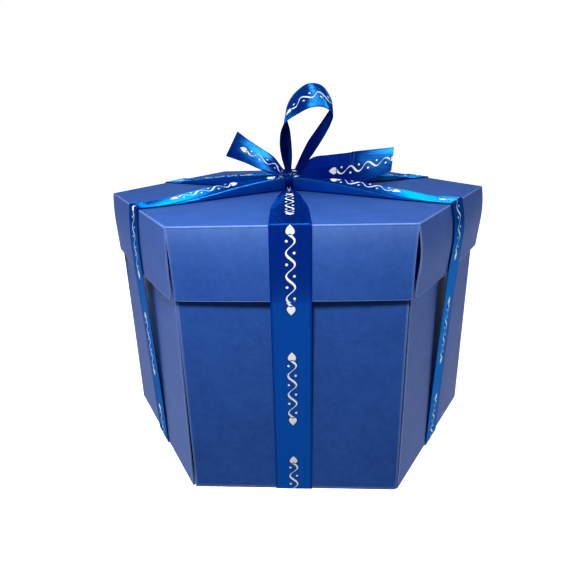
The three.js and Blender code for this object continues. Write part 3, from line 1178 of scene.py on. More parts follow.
    def mat(self, side: Side, material: bpy.types.Material) -> bpy.types.Object:
        """One photo mat on a wall's inner face.

        Args:
            side: The wall's side.
            material: The card.

        Returns:
            The object.
        """
        width, height = self.mat_size()
        face = self.apothem - self.board.thickness - self.mat_glue_gap
        middle = self.bottom + self.mat_margin + height / 2
        radius = self.mat_corner_radius
        outline = []
        for quarter, (right, up) in enumerate(((1, 1), (-1, 1), (-1, -1), (1, -1))):
            cx, cy = (width / 2 - radius) * right, (height / 2 - radius) * up
            for angle in quarter * QUARTER + np.linspace(0, QUARTER, 6):
                outline.append((cx + radius * math.cos(angle), cy + radius * math.sin(angle)))
        bm = bmesh.new()
        uv = bm.loops.layers.uv.new("Sheet")
        front, back = (
            [bm.verts.new(side.place(np.array([x, y, middle + z])) * MM) for y, z in outline]
            for x in (face - self.mat_thickness, face)
        )
        bm.faces.new(list(reversed(front)))
        bm.faces.new(back)
        for i, j in enumerate([*range(1, len(front)), 0]):
            bm.faces.new((front[i], front[j], back[j], back[i]))
        sideways = side.place(np.array([0.0, 1.0, 0.0]))
        for found in bm.faces:
            for loop in found.loops:
                place = np.array(loop.vert.co)
                loop[uv].uv = (place @ sideways, place[2] - middle * MM)
        edges = [e for e in bm.edges if e.calc_face_angle(0.0) > self.mat_bevel_from]
        bmesh.ops.bevel(bm, geom=edges, offset=self.mat_bevel * MM, segments=2, affect="EDGES")
        return from_bmesh(f"{self.layer.label}_photo_mat_{side.label}", bm, [material])

    def mat_size(self) -> tuple[float, float]:
        """A mat's width and height."""
        width = 2 * ((self.apothem - self.board.thickness) * HALF_CORNER - self.mat_side_gap)
        return width - 2 * self.mat_margin, self.height - 2 * self.mat_margin

    def build(self, materials: Materials, card: bpy.types.Material | None) -> None:
        """Makes the base, the walls, their creases and their mats.

        Args:
            materials: The board's and its cut edge's material.
            card: The mats' material, or None where the layer has no mats.
        """
        label = self.layer.label
        slot = f"{label}_board"
        settle(self.base(materials), slot, "root", f"{label}_base")
        for side in Side:
            body = f"{label}_side_{side.label}"
            name = f"{label}_panel_{side.label}"
            panel = closed_sheet(name, self.wall(side), self.board.thickness, materials)
            settle(panel, slot, body, f"{label}_wall_{side.label}")
            name = f"{label}_crease_{side.label}"
            strip = closed_sheet(name, self.crease(side), -self.crease_thickness, materials)
            strip.data.flip_normals()
            height = self.bottom + self.board.thickness / 2
            start, end = (side.spot(self.apothem - inset, height) for inset in self.blend_insets)
            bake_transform(strip)
            log.info("%s bends between the base and %s", strip.name, body)
            if card:
                settle(self.mat(side, card), "mat_card", body, f"{label}_mat_{side.label}")


@dataclass
class GiftBox:
    """The small box in the middle, with its own lid."""

    board: Board
    bottom: float
    side: float = 46.0
    height: float = 56.0
    lid_skirt: float = 19.0
    lid_clearance: float = 0.6

    def build(self, tray: Materials, cap: Materials) -> None:
        """Makes the tray and its lid.

        Args:
            tray: The tray's board and its cut edge.
            cap: The lid's board and its cut edge.
        """
        cuts = {side: FlapCut(0.25, 0.2) for side in Side}
        apothem = self.side / (2 * HALF_CORNER)
        body = FoldedHexagon("gift_tray", self.board, apothem, self.height, cuts)
        settle(body.build(self.bottom, False, tray), "gift_board", "root", "gift_box_body")
        apothem += self.lid_clearance + self.board.thickness
        top = self.bottom + self.height + self.board.glue_gap + self.board.thickness
        sizes = {"bow": 0.2, "corner_radius": 1.2, "rows": 5}
        lid = FoldedHexagon("gift_cap", self.board, apothem, self.lid_skirt, cuts, **sizes)
        settle(lid.build(top, True, cap), "gift_lid_board", "gift_lid", "gift_box_lid")


# ---- Ribbon ----


@dataclass
class Ribbon:
    """The satin ribbon, as it is cut from its reel."""

    width: float = 21.0
    thickness: float = 0.3
    lift: float = 0.35
    solid_thickness: float = 0.4
    bend_radius: float = 1.2
    columns: int = 28
    selvedge_radius: float = 0.17

    @property
    def lie(self) -> float:
        """From the board to the ribbon's outer face."""
        return self.lift + self.solid_thickness

    @property
    def shares(self) -> np.ndarray:
        """Places across the ribbon, from -1 at its left edge to 1."""
        return np.linspace(-1, 1, self.columns + 1)

    @property
    def across(self) -> np.ndarray:
        """The same places in millimetres."""
        return self.shares * self.width / 2

    def lay(
        self,
        name: str,
        patch: Patch,
        satin: Materials,
        body: str,
        node: str,
        length: float,
        held: str,
        on: str,
    ) -> bpy.types.Object:
        """Args:
            name: The piece's name.
            patch: Its outer face.
            satin: Its right side, wrong side and cut edge.
            body: The body that it rides on.
            node: The node that it stands for.
            length: How long it is when it lies flat.
            held: How it is held. Not used.
            on: The piece that it rests on. Not used.

        Returns:
            The piece.
        """
        made = closed_sheet(name, patch, self.thickness, satin)
        self.add_selvedges(made, patch)
        settle(made, "satin_ribbon", body, node)
        self.width * MM
        length * MM
        return made

    def add_selvedges(self, made: bpy.types.Object, patch: Patch) -> None:
        """Runs a fine cord along both long edges of a piece, as one mesh with it.

        Args:
            made: The piece.
            patch: Its outer face.
        """
        middle = patch.points - patch.normals() * (self.thickness / 2)
        count = len(middle)
        edges = [(i, i + 1) for i in range(2 * count - 1) if i != count - 1]
        mesh = bpy.data.meshes.new("selvedge")
        mesh.from_pydata((np.concatenate([middle[:, 0], middle[:, -1]]) * MM).tolist(), edges, [])
        guide = linked("selvedge", mesh)
        modifier = guide.modifiers.new("Selvedge", "NODES")
        modifier.node_group = selvedge_tree()
        values = {"Cord Radius": self.selvedge_radius * MM, "Satin": made.data.materials[-1]}
        for item in modifier.node_group.interface.items_tree:
            if item.name in values:
                modifier[item.identifier] = values[item.name]
        cord = evaluated(guide)
        bpy.data.objects.remove(guide)
        bm = bmesh.new()
        bm.from_mesh(made.data)
        uv = bm.loops.layers.uv["Sheet"]
        known = len(bm.faces)
        bm.from_mesh(cord)
        bm.faces.ensure_lookup_table()
        for face in bm.faces[known:]:
            face.smooth = True
            face.material_index = len(made.data.materials) - 1
            for loop in face.loops:
                loop[uv].uv = (self.width / 2 * MM, 0.0)
        bm.to_mesh(made.data)
        bm.free()


def selvedge_tree() -> bpy.types.NodeTree:
    """The nodes that sweep a cord along the edges of a mesh, made once.

    Returns:
        The node tree.
    """
    known = bpy.data.node_groups.get("Selvedge cord")
    if known:
        return known
    tree = bpy.data.node_groups.new("Selvedge cord", "GeometryNodeTree")
    inputs = {"Geometry": "Geometry", "Cord Radius": "Float", "Satin": "Material"}
    for name, kind in inputs.items():
        tree.interface.new_socket(name, in_out="INPUT", socket_type=f"NodeSocket{kind}")
    tree.interface.new_socket("Geometry", in_out="OUTPUT", socket_type="NodeSocketGeometry")
    graph = NodeGraph(tree)
    edges, radius, satin = (graph.node("NodeGroupInput", output=name) for name in inputs)
    line = graph.node("GeometryNodeMeshToCurve", {}, {"Mesh": edges})
    ring = graph.node("GeometryNodeCurvePrimitiveCircle", {}, {"Resolution": 6, "Radius": radius})
    sockets = {"Curve": line, "Profile Curve": ring, "Fill Caps": True}
    sweep = graph.node("GeometryNodeCurveToMesh", {}, sockets)
    painted = graph.node("GeometryNodeSetMaterial", {}, {"Geometry": sweep, "Material": satin})
    graph.node("NodeGroupOutput", {}, {"Geometry": painted})
    return tree


Bend = Sequence[tuple[float, float]]


@dataclass(frozen=True)
class GatherProfile:
    """How a run of ribbon is bent across its width where it is drawn in towards the knot. The places
    across and up are shares of its half width and its ridge: close to flat, and at the knot."""

    places: Bend
    knot_places: Bend
    power: float = 2.0
    end: float = 100.0
    softness: Place = (0.22, 0.56, 0.22)

    def widening(self, share: float) -> float:
        """How far it has widened at a share of the way from the knot to its end."""
        return math.sin(share * QUARTER) ** self.power

    def turned(self) -> "GatherProfile":
        """The same bend seen from the other side.

        Returns:
            The profile.
        """
        bends = (self.places, self.knot_places)
        flipped = (tuple((-x, z) for x, z in reversed(bend)) for bend in bends)
        return GatherProfile(*flipped, self.power, self.end)

    def bent(self, c: np.ndarray, half: float, flat_half: float) -> tuple[np.ndarray, np.ndarray]:
        """Places across and up for shares of the flat width, at a drawn-in half width.

        Args:
            c: Shares across the ribbon, from -1 to 1.
            half: Half the drawn-in width.
            flat_half: Half the flat width.

        Returns:
            The places across and up in millimetres.
        """
        drawn_in = min((1 - half / flat_half) * 1.4, 1.0)
        shape = np.array(self.knot_places) * drawn_in + np.array(self.places) * (1 - drawn_in)
        low, high = 0.0, 2 * flat_half
        for _ in range(24):
            ridge = (low + high) / 2
            run = travelled(shape * [half, ridge])
            low, high = (ridge, high) if run[-1] < 2 * flat_half else (low, ridge)
        along = (c + 1) / 2 * run[-1]
        soft = []
        for k, size in enumerate((half, ridge)):
            line = np.interp(along, run, shape[:, k] * size)
            line = np.pad(line, 1, mode="reflect", reflect_type="odd")
            soft.append(np.convolve(line, self.softness, "valid"))
        return soft[0], soft[1]


ROUND_GATHER: Final = GatherProfile(
    (
        (-1, 0), (-0.88, 0.42), (-0.66, 0.72), (-0.36, 0.92), (0, 1),
        (0.36, 0.92), (0.66, 0.72), (0.88, 0.42), (1, 0),
    ),
    (
        (-1, 0), (-0.8, 1), (-0.56, 0.12), (-0.3, 0.95), (0, 0.2),
        (0.3, 1), (0.56, 0.12), (0.8, 0.9), (1, 0),
    ),
    power=1.4,
    end=74.0,
)
STEEP_GATHER: Final = GatherProfile(
    ((-1, 0), (-0.8, 0.9), (0.1, 1), (1, 0)), ((-1, 0), (-0.85, 0.9), (0.2, 1), (1, 0))
)
CREASED_GATHER: Final = GatherProfile(
    ((-1, 0), (-0.97, 0.33), (0.45, 1), (1, 0)), ((-1, 0), (-0.85, 0.82), (0.4, 1), (1, 0))
)


@dataclass(frozen=True)
class Run:
    """What sets one side's run of ribbon apart: its gathers, where its print and it itself start."""

    gather: GatherProfile
    print_shift: float
    start: float = 4.8


@dataclass
class RibbonWrap:
    """The ribbon around the box: six runs from the knot to the skirt's edge, six drops down the walls
    and three crossings under the base."""

    ribbon: Ribbon
    lid: Lid
    walls: WallLayer
    gather_half: float = 3.1
    pleat: float = 0.4
    pleat_count: float = 3.3
    pleat_start: float = 34.0
    pleat_fade: float = 26.0
    wave: float = 0.12
    wave_rate: float = 0.11
    wave_start: float = 90.0
    skirt_rows: int = 16
    skirt_bow: float = 1.3
    skirt_overlap: float = 0.4
    edge_drop: float = 1.1
    edge_inset: float = 3.0
    foot_share: float = 0.05
    foot_gap: float = 0.3
    drop_gap: float = 0.6
    drop_slack: float = 0.35
    drop_length: float = 121.0
    crossing_length: float = 211.5
    crossing_thickness: float = 0.1
    crossing_step: float = 0.12
    crossing_lie: float = 0.02
    hump_half: float = 30.0
    hump_slope: float = 12.0
    first_print: float = 51.5
    runs: dict[Side, Run] = field(
        default_factory=lambda: {
            Side.FRONT: Run(ROUND_GATHER, 11.0, start=6.2),
            Side.FRONT_RIGHT: Run(CREASED_GATHER, 22.0),
            Side.BACK_RIGHT: Run(STEEP_GATHER, 41.0),
            Side.BACK: Run(ROUND_GATHER, 30.0),
            Side.BACK_LEFT: Run(STEEP_GATHER.turned(), 22.0),
            Side.FRONT_LEFT: Run(CREASED_GATHER.turned(), 13.0),
        }
    )

    def printed_at(self, side: Side, past_edge: float) -> float:
        """Where on the print a side's ribbon is, at a distance past the lid's edge."""
        return self.lid.apothem + past_edge - self.first_print + self.runs[side].print_shift

    def gathered(self, side: Side, distance: float) -> float:
        """Half the drawn-in width of a side's run.

        Args:
            side: The run's side.
            distance: Millimetres from the knot.

        Returns:
            Millimetres.
        """
        flat_half, run = self.ribbon.width / 2, self.runs[side]
        share = min(max((distance - run.start) / (run.gather.end - run.start), 0.0), 1.0)
        return self.gather_half + (flat_half - self.gather_half) * run.gather.widening(share)

    def route(self, side: Side) -> list[tuple[float, float]]:
        """The way that a run takes, up the skirt, over the edge and along the lid.

        Args:
            side: The run's side.

        Returns:
            Distances from the knot and heights.
        """
        ribbon, apothem, top = self.ribbon, self.lid.apothem, self.lid.top
        height = top - self.edge_drop - self.lid.skirt_bottom + self.skirt_overlap
        found = []
        for share in np.linspace(0, 0.96, self.skirt_rows):
            swell = float(self.lid.cuts[side].swell(0.0, share))
            x = apothem + ribbon.lie + self.skirt_bow * math.cos(share * QUARTER) + swell
            found.append((x, self.lid.skirt_bottom - self.skirt_overlap + share * height))
        centre = apothem - ribbon.bend_radius + ribbon.lie
        for angle in np.linspace(QUARTER, 0, 9):
            drop = ribbon.bend_radius * (1 - math.cos(angle))
            found.append((centre + ribbon.bend_radius * math.sin(angle), top + ribbon.lie - drop))
        along_lid = np.linspace(centre - self.edge_inset, self.runs[side].start, 52)
        return found + [(x, top + ribbon.lie) for x in along_lid]

    def over_lid(self, side: Side) -> Patch:
        """A run's outer face, from the skirt's lower edge up and over to the knot.

        Args:
            side: The run's side.

        Returns:
            The patch.
        """
        ribbon, apothem = self.ribbon, self.lid.apothem
        route = self.route(side)
        knot = turned(np.array([*KNOT_PLACE, 0.0]), -side.value)
        c = ribbon.shares
        rows = []
        middle = travelled(np.array(route))
        inwards = slice(None, self.skirt_rows - 1, -1)
        edge_at = float(np.interp(apothem, [x for x, _ in route[inwards]], middle[inwards]))
        for (x, z), run in zip(route, middle):
            half = self.gathered(side, x)
            near = max(1 - x / apothem, 0.0)
            offset, rise = self.runs[side].gather.bent(c, half, ribbon.width / 2)
            close = float(eased((self.pleat_start - x) / self.pleat_fade))
            pleat = np.cos(c * self.pleat_count * math.pi + side.value) * (1 - c**2)
            rise = rise + self.pleat * close * pleat
            if x > self.wave_start:
                rise = rise + self.wave * math.sin(x * self.wave_rate + side.value) * c
            points = spread(x + knot[0] * near, knot[1] * near + offset, z + rise)
            rows.append((points, spread(ribbon.across, self.printed_at(side, edge_at - run))))
        return Patch.of(rows, side.value)

    def drop(self, side: Side) -> Patch:
        """The outer face of the ribbon below the skirt.

        Args:
            side: The ribbon's side.

        Returns:
            The patch.
        """
        ribbon = self.ribbon
        top_x = self.lid.apothem + ribbon.lie + self.skirt_bow
        top_z = self.lid.skirt_bottom + self.drop_gap
        foot_x, foot_z = self.walls.apothem + ribbon.lie, self.walls.outer_bottom + self.foot_gap
        length = top_z - foot_z
        rows = []
        for share in [0.0, 0.02, self.foot_share, *np.linspace(0.08, 1, 22)]:
            lean = max(share - self.foot_share, 0) / (1 - self.foot_share)
            slack = self.drop_slack * math.sin(share * math.pi) * ribbon.shares**2
            x = foot_x + lean * (top_x - foot_x) - slack
            printed = self.printed_at(side, self.lid.top - top_z + (1 - share) * length)
            points = spread(x, ribbon.across, foot_z + share * length)
            rows.append((points, spread(ribbon.across, printed)))
        return Patch.of(rows, side.value)

    def crossing(self, turn: float, level: float) -> Patch:
        """The outer (lower) face of one ribbon under the base.

        Args:
            turn: The direction it runs in, in degrees.
            level: How high it lies over the others in the middle, in millimetres.

        Returns:
            The patch.
        """
        reach = self.crossing_length / 2
        across = np.linspace(-self.ribbon.width / 2, self.ribbon.width / 2, 9)
        rows = []
        for run in np.linspace(-reach, reach, 61):
            hump = eased((self.hump_half - abs(run)) / self.hump_slope)
            z = self.crossing_lie + level * float(hump)
            rows.append((spread(run, -across, z), spread(across, run)))
        return Patch.of(rows, turn)

    def build(self, satin: Materials) -> None:
        """Makes the wrap's pieces.

        Args:
            satin: The ribbon's right side, wrong side and cut edge.
        """
        ribbon = self.ribbon
        for side in Side:
            patch, name = self.over_lid(side), side.label
            length = float(travelled(patch.points[:, 0]).max())
            parts = (f"satin_over_lid_{name}", patch, satin, "lid", f"ribbon_top_{name}")
            ribbon.lay(*parts, length, "stretched", "lid_shell")
            patch, body = self.drop(side), f"outer_side_{name}"
            parts = (f"satin_drop_{name}", patch, satin, body, f"ribbon_drop_{name}")
            drop = ribbon.lay(*parts, self.drop_length, "stretched", f"outer_panel_{name}")
            anchor = tuple(side.spot(self.walls.apothem + 0.02, 50.0))
            axis = tuple(side.place(np.array([1.0, 0.0, 0.0])))
            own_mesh(drop)
        for index, turn in enumerate((-90, -30, 30)):
            patch = self.crossing(turn, self.crossing_step * index)
            name = f"satin_crossing_{index + 1}"
            strip = closed_sheet(name, patch, self.crossing_thickness, satin)
            settle(strip, "satin_ribbon", "root", *[] if index else ["ribbon_underside"])
            flat = (ribbon.width * MM, self.crossing_length * MM)


# ---- Bow ----


@dataclass(frozen=True)
class Tail:
    """A cut tail. The places along its edges are shares of its length, from the middle of the knot.
    Its end is cupped, and pleats fan out from the knot."""

    length: float
    flat_length: float
    upper: Places
    lower: Places
    cup: float
    fan: float
    first_print: float
    fading: float = 1.9

    def pleats(self, t: float, share: np.ndarray) -> np.ndarray:
        """How far the tail stands out.

        Args:
            t: The share of its length.
            share: Shares of its width.

        Returns:
            Millimetres.
        """
        fade = max(1 - t * self.fading, 0) ** 1.5
        pleat = np.sin(share * 3.2 * math.pi + 0.6) * 1.1 + 0.4 * np.sin(share * 7.1 * math.pi)
        return fade * self.fan * pleat + self.cup * t * (4 * share * (1 - share) - 0.5)


@dataclass
class Bow:
    """The bow: a knot, one upright loop and two cut tails. Places are shares of a length, counted
    from the middle of the knot."""

    ribbon: Ribbon
    lid_top: float
    knot_half_width: float = 5.2
    knot_half_height: float = 5.0
    knot_skin: float = 0.7
    knot_growth: float = 0.36
    knot_winding: tuple[float, float] = (-0.62 * math.pi, 1.46 * math.pi)
    knot_taper: float = 0.42
    knot_taper_power: float = 2.6
    knot_pinch: float = 0.16
    knot_sway: float = 0.35
    knot_pleat: float = 0.72
    knot_pleats: float = 4.3
    knot_length: float = 27.0
    knot_print: float = 30.0
    lift: float = 0.8
    loop_height: float = 60.0
    loop_length: float = 125.0
    loop_print: float = 32.0
    loop_cup: float = 0.5
    loop_pleat: float = 1.2
    loop_near: Places = (
        (-0.03, -0.05, 0), (-0.08, -0.115, 0.19), (-0.095, -0.15, 0.33), (-0.08, -0.16, 0.45),
        (-0.03, -0.165, 0.54), (0.12, -0.15, 0.63), (0.24, -0.135, 0.68), (0.35, -0.12, 0.685),
        (0.43, -0.135, 0.655), (0.48, -0.15, 0.595), (0.46, -0.16, 0.515), (0.4, -0.15, 0.4),
        (0.32, -0.13, 0.275), (0.235, -0.1, 0.155), (0.11, -0.045, 0),
    )
    loop_far: Places = (
        (0.02, 0.05, 0), (0.03, 0.115, 0.17), (0.02, 0.15, 0.31), (0.005, 0.16, 0.44),
        (-0.035, 0.135, 0.62), (0, 0.115, 0.735), (0.085, 0.1, 0.84), (0.225, 0.1, 0.92),
        (0.365, 0.12, 0.895), (0.455, 0.135, 0.79), (0.485, 0.15, 0.69), (0.425, 0.16, 0.59),
        (0.325, 0.15, 0.455), (0.215, 0.125, 0.31), (0.065, 0.05, 0.03),
    )
    left: Tail = Tail(
        length=42.0,
        flat_length=40.0,
        upper=(
            (-0.09, 0.02, 0.14), (-0.22, 0.07, 0.31), (-0.43, 0.1, 0.45), (-0.62, 0.07, 0.58),
            (-0.8, 0.03, 0.72),
        ),
        lower=(
            (-0.12, 0, 0.005), (-0.22, -0.06, 0.05), (-0.42, -0.1, 0.135), (-0.68, -0.08, 0.25),
            (-0.99, -0.06, 0.36),
        ),
        cup=1.0,
        fan=1.5,
        first_print=14.0,
    )
    right: Tail = Tail(
        length=68.0,
        flat_length=65.0,
        upper=(
            (0.08, -0.015, 0.065), (0.235, -0.055, 0.19), (0.38, -0.07, 0.21),
            (0.56, -0.075, 0.226), (0.595, -0.06, 0.229), (0.635, 0, 0.232),
            (0.745, 0.03, 0.24), (1.025, 0.07, 0.26),
        ),
        lower=(
            (0.085, 0, -0.05), (0.225, 0.005, -0.1), (0.385, 0, -0.1), (0.55, -0.02, -0.095),
            (0.59, -0.03, -0.093), (0.635, -0.055, -0.088), (0.765, -0.075, -0.035),
            (0.985, -0.075, 0.055),
        ),
        cup=0.5,
        fan=0.35,
        first_print=47.0,
    )

    @property
    def knot_middle(self) -> float:
        """The height of the knot's middle."""
        return self.lid_top + self.ribbon.lie + self.knot_half_height

    def strip(
        self,
        near: Places,
        far: Places,
        length: float,
        lift: float,
        steps: int,
        pleats: Callable[[float, np.ndarray], np.ndarray],
        first_print: float,
    ) -> Patch:
        """The outer face of a ribbon between two edges.

        Args:
            near: Places along its right edge, as shares of a length.
            far: Places along its left edge.
            length: The length that they are shares of.
            lift: How far above the knot's middle they start.
            steps: How many steps it is cut into.
            pleats: How far it stands out at a share of its length and shares of its width.
            first_print: Where the print starts along it.

        Returns:
            The patch.
        """
        start = np.array([*KNOT_PLACE, self.knot_middle + lift])
        a, b = (smooth_path(start + np.array(places) * length, steps) for places in (far, near))
        out = np.cross(b - a, np.gradient(a + b, axis=0))
        out /= np.linalg.norm(out, axis=1, keepdims=True)
        share = np.linspace(0, 1, self.ribbon.columns + 1)
        rows = []
        for i, run in enumerate(travelled((a + b) / 2)):
            stand = np.outer(pleats(i / steps, share), out[i])
            points = a[i] + np.outer(share, b[i] - a[i]) + stand
            rows.append((points, spread(self.ribbon.across, run + first_print)))
        return Patch.of(rows)

    def loop(self) -> Patch:
        """The upright loop's outer face.

        Returns:
            The patch.
        """

        def pleats(t: float, share: np.ndarray) -> np.ndarray:
            """Gathers at both ends, and a slight cup across the width between them.

            Args:
                t: The share of the loop's length.
                share: Shares of its width.

            Returns:
                Millimetres that it stands out.
            """
            gather = max(1 - min(t, 1 - t) * 6, 0)
            cup = self.loop_cup * (1 - gather) * (4 * share * (1 - share) - 0.6)
            return self.loop_pleat * gather * np.sin(share * 2 * math.pi) + cup

        lift = self.knot_half_height + self.lift
        edges = (self.loop_near, self.loop_far)
        return self.strip(*edges, self.loop_height, lift, 150, pleats, self.loop_print)

    def tail(self, tail: Tail) -> Patch:
        """A tail's outer face, which is turned to the front.

        Args:
            tail: The tail.

        Returns:
            The patch.
        """
        edges = (tail.lower, tail.upper)
        if tail.lower[-1][0] < tail.lower[0][0]:
            edges = edges[::-1]
        lift = self.knot_half_height / 2
        return self.strip(*edges, tail.length, lift, 80, tail.pleats, tail.first_print)

    def knot(self) -> Patch:
        """The knot's band, wound once around the gathered ribbons, in narrow pleats.

        Returns:
            The patch.
        """
        s = np.linspace(-1, 1, 73)
        swell = 1 - self.knot_taper * np.abs(s) ** self.knot_taper_power
        x0, y0 = KNOT_PLACE
        turns = np.linspace(*self.knot_winding, 76)
        rows = []
        for index, angle in enumerate(turns):
            grow = self.knot_growth * index / len(turns) - self.knot_skin
            pinch = 1 - self.knot_pinch * math.cos(2 * angle)
            lean = 0.5 * math.sin(angle * 1.5)
            pleat = self.knot_pleat * np.cos(s * self.knot_pleats * math.pi + lean)
            pleat = pleat * (1 - 0.35 * s**2)
            x = x0 + s * (self.knot_half_width - 0.2) * pinch + self.knot_sway * math.sin(angle * 2)
            y = y0 - ((self.knot_half_width + grow) * swell + pleat) * math.cos(angle)
            up = ((self.knot_half_height + grow) * swell + pleat) * math.sin(angle)
            printed = angle * self.knot_half_height + self.knot_print
            flat = spread(s * self.ribbon.width / 2, printed)
            rows.append((spread(x, y, self.knot_middle + up), flat))
        return Patch.of(rows)

    def build(self, satin: Materials, knot_shaded_satin: bpy.types.Material) -> None:
        """Makes the bow's pieces.

        Args:
            satin: The ribbon's right side, wrong side and cut edge.
            knot_shaded_satin: The right side where the print doesn't show, for the knot, in a darker
            dye with less gloss: painted shade.
        """
        pieces = (
            ("loop", self.loop(), self.loop_length, satin),
            ("tail_left", self.tail(self.left), self.left.flat_length, satin),
            ("tail_right", self.tail(self.right), self.right.flat_length, satin),
            ("knot", self.knot(), self.knot_length, (knot_shaded_satin, *satin[1:])),
        )
        for name, patch, length, faces in pieces:
            parts = (f"satin_{name}", patch, faces, "lid", f"bow_{name}")
            self.ribbon.lay(*parts, length, "gathered", "lid_shell")
            log.info("%s: middle line %.1f mm", name, travelled(patch.points.mean(axis=1)).max())


# ---- Studio ----


FOR_BOARD: Final = {"glossy": False}
FOR_SATIN: Final = {"diffuse": False}
SKY_TINT: Final[Colour] = (0.55, 0.8, 1.0)
TABLE_TINT: Final[Colour] = (0.5, 0.68, 1.0)


@dataclass(frozen=True)
class Lamp:
    """A soft lamp, as wide and high as its size says. It may light the board alone, or be a card that
    only shines in the satin."""

    name: str
    place: Place
    aim: Place
    size: tuple[float, float]
    power: float
    diffuse: bool = True
    glossy: bool = True
    tint: Colour = WHITE

    def hang(self) -> None:
        """Hangs the lamp and aims it."""
        data = bpy.data.lights.new(self.name, "AREA")
        data.shape, data.energy, data.color = "RECTANGLE", self.power, self.tint
        data.size, data.size_y = (length * MM for length in self.size)
        made = linked(self.name, data)
        place, aim = Vector(self.place) * MM, Vector(self.aim) * MM
        turn = (place - aim).to_track_quat("Z", "Y").to_matrix().to_4x4()
        made.matrix_world = Matrix.Translation(place) @ turn
        made.visible_camera = False
        made.visible_diffuse, made.visible_glossy = self.diffuse, self.glossy


@dataclass
class Studio:
    """Floor, sweep, light and the camera at the photograph's viewing angle."""

    camera_place: Place = (6.8, -363.4, 218.1)
    yaw: float = -3.90
    pitch: float = 20.70
    roll: float = -1.71
    focal_share: float = 531.2 / 576
    middle: tuple[float, float] = (270.5 / 576, 300.4 / 576)
    sensor: float = 36.0
    floor_radius: float = 14.0
    sweep_radius: float = 13.5
    room_glow: float = 0.02
    sky_glow: float = 0.04
    side_glow: float = 2.7
    side_glow_change: float = 0.15
    back_glow: float = 4.3
    table_glow: float = 0.16
    floor_colour: Colour = (0.88, 0.88, 0.88)
    lamps: tuple[Lamp, ...] = (
        Lamp("Key", (-40, -280, 350), (0, -160, 20), (70, 70), 1.15, **FOR_BOARD),
        Lamp("Top fill", (-20, 350, 700), (0, 0, 140), (500, 500), 1.82, **FOR_BOARD),
        Lamp("Left", (-300, -160, 620), (-30, 0, 180), (180, 180), 0.25),
        Lamp("Table glow", (0, -200, -60), (0, -105, 10), (160, 60), 0.018, **FOR_BOARD),
        Lamp("Sky card", (0, 0, 800), (0, 0, 140), (180, 180), 0.85, **FOR_SATIN),
        Lamp(
            "Back card, left", (-275, 740, 610), (0, 0, 165), (100, 600), 1.2,
            tint=SKY_TINT, **FOR_SATIN,
        ),
        Lamp(
            "Back card, right", (275, 740, 610), (0, 0, 165), (100, 600), 1.2,
            tint=SKY_TINT, **FOR_SATIN,
        ),
        Lamp("Front card", (290, -170, 740), (-30, 0, 185), (310, 310), 3.2, **FOR_SATIN),
        Lamp("Tail card", (110, -450, 570), (50, 0, 180), (130, 130), 0.22, **FOR_SATIN),
        Lamp(
            "Table card", (0, -560, -260), (0, -100, 40), (420, 420), 0.42,
            tint=TABLE_TINT, **FOR_SATIN,
        ),
    )

    def camera(self) -> None:
        """Places the camera."""
        yaw, pitch, roll = (math.radians(a) for a in (self.yaw, self.pitch, self.roll))
        level = math.cos(pitch)
        forward = Vector((math.sin(yaw) * level, math.cos(yaw) * level, -math.sin(pitch)))
        right = forward.cross(Vector((0, 0, 1))).normalized()
        up = right.cross(forward)
        c, s = math.cos(roll), math.sin(roll)
        right, up = c * right + s * up, -s * right + c * up
        data = bpy.data.cameras.new("Camera")
        data.sensor_width, data.lens = self.sensor, self.focal_share * self.sensor
        data.shift_x, data.shift_y = 0.5 - self.middle[0], self.middle[1] - 0.5
        data.clip_start, data.clip_end = 0.01, 100.0
        made = linked("Camera", data)
        turn = Matrix((right, up, -forward)).transposed().to_4x4()
        made.matrix_world = Matrix.Translation(Vector(self.camera_place) * MM) @ turn
        bpy.context.scene.camera = made

    def floor(self) -> None:
        """A wide pale floor and a pale sweep around it, which only the camera sees."""
        bm = bmesh.new()
        bmesh.ops.create_circle(bm, cap_ends=True, segments=96, radius=self.floor_radius)
        finish = GlowFinish("Studio floor", self.floor_colour)
        floor = from_bmesh("studio_floor", bm, [finish.material()])
        bm = bmesh.new()
        bmesh.ops.create_uvsphere(bm, u_segments=64, v_segments=32, radius=self.sweep_radius)
        bmesh.ops.reverse_faces(bm, faces=bm.faces)
        sweep = from_bmesh("studio_sweep", bm, [GlowFinish("Studio sweep").material()])
        for made in (floor, sweep):
            made.visible_diffuse = made.visible_glossy = made.visible_shadow = False
            made.visible_transmission = made.visible_volume_scatter = False

    def light(self) -> None:
        """Soft lamps, cards that shine in the satin, and a dim room that is palest low behind the box
        and at its two sides."""
        world = bpy.data.worlds.new("Studio")
        bpy.context.scene.world = world
        world.use_nodes = True
        graph = NodeGraph(world.node_tree)
        side, back, up = graph.axes(graph.here("Generated"), 3)
        low_behind = graph.clamp(back * 1.6 + 0.1) * graph.clamp(up * -6.0 - 0.9)
        beside = abs(side) ** 8.0 * (graph.clamp(back * 3.0 + 0.6) * 0.7 + 0.3)
        table = graph.clamp(back * -1.0) * graph.clamp(up * -2.0)
        strength = self.room_glow + graph.clamp(up) * self.sky_glow
        strength = strength + beside * (self.side_glow - side * self.side_glow_change)
        strength = strength + low_behind * self.back_glow + table * self.table_glow
        sockets = {"Color": (0.96, 0.98, 1.0, 1.0), "Strength": strength}
        graph.end(graph.node("ShaderNodeBackground", {}, sockets), "ShaderNodeOutputWorld")
        for found in self.lamps:
            found.hang()

    def build(self) -> None:
        """Sets up the studio."""
        self.camera()
        self.floor()
        self.light()
        view = bpy.context.scene.view_settings
        view.view_transform, view.look = "Standard", "None"


# ---- The whole box ----


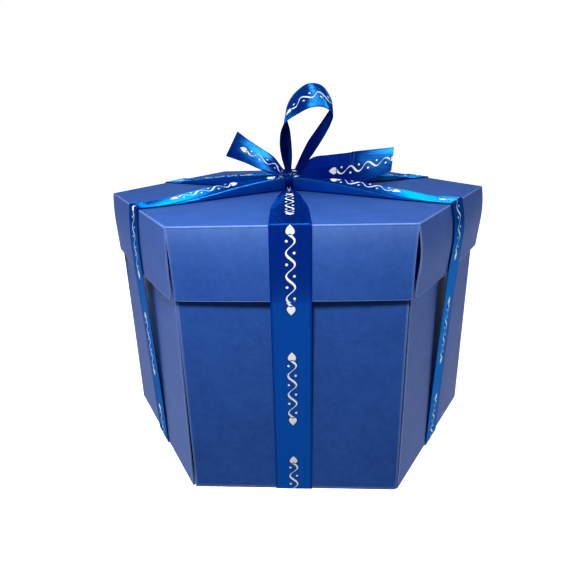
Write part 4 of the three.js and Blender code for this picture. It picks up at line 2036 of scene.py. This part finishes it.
def main() -> None:
    """Builds every piece, in the order that the box is put together."""
    logging.basicConfig(level=logging.INFO, format="%(name)s: %(message)s")
    board = Board()
    # each dye: name, board colour, pale colour for wear and painted highlight, cut edge's core colour
    dyes = (
        ("Cobalt", (0.025, 0.093, 0.4), (0.28, 0.44, 0.86), (0.12, 0.19, 0.46)),
        ("Sky", (0.21, 0.37, 0.72), (0.6, 0.7, 0.88), (0.62, 0.7, 0.84)),
        ("Pale", (0.72, 0.78, 0.88), (0.86, 0.88, 0.92), (0.85, 0.86, 0.88)),
    )
    blue, sky, pale = (
        (
            BoardFinish(f"{name} board", colour, worn).material(),
            CutEdgeFinish(f"{name} board cut edge", core).material(),
        )
        for name, colour, worn, core in dyes
    )
    finishes = (
        SatinFinish("Royal satin", (0.001, 0.019, 0.26), (0.02, 0.33, 0.96), Motif()),
        SatinFinish(
            "Royal satin, wrong side", (0.0008, 0.006, 0.12), (0.01, 0.12, 0.7),
            gloss_share=0.07, edge_gloss=0.03, top_gloss=0.05,
        ),
        # the knot's satin: darker dye and less gloss than the printed side, painted shade
        SatinFinish(
            "Royal satin, unprinted", (0.001, 0.013, 0.18), (0.02, 0.25, 0.9),
            gloss_share=0.16, edge_gloss=0.1,
        ),
    )
    right_side, wrong_side, unprinted_shaded = (finish.material() for finish in finishes)
    satin = (right_side, wrong_side, wrong_side)

    lid = Lid(board)
    lid.build(blue)
    outer_cuts = {
        Side.FRONT: FlapCut(right=0.2, left_foot=1.6),
        Side.FRONT_RIGHT: FlapCut(left=1.2, right=0.2, left_foot=0.3),
        Side.FRONT_LEFT: FlapCut(left=0.3, right=0.2, left_foot=0.8, left_head=2.2),
        Side.BACK_LEFT: FlapCut(right=0.2, right_head=-2.0),
    }
    outer = WallLayer(Layer.OUTER, board, slit=0.35, cuts=outer_cuts)
    middle = WallLayer(Layer.MIDDLE, board)
    inner = WallLayer(Layer.INNER, board)
    for walls, materials in ((outer, blue), (middle, sky), (inner, pale)):
        mats = None
        if walls.layer is not Layer.INNER:
            name = f"{walls.layer.label} mat card"
            finish = CardFinish(name, (0.88, 0.86, 0.8), (0.62, 0.6, 0.55), *walls.mat_size())
            mats = finish.material()
        walls.build(materials, mats)
        log.info("%s layer: %.1f mm high", walls.layer.label, walls.height)
    GiftBox(board, inner.bottom + board.thickness + board.glue_gap).build(sky, blue)
    ribbon = Ribbon()
    RibbonWrap(ribbon, lid, outer).build(satin)
    Bow(ribbon, lid.top).build(satin, unprinted_shaded)
    Studio().build()


if __name__ == "__main__":
    main()
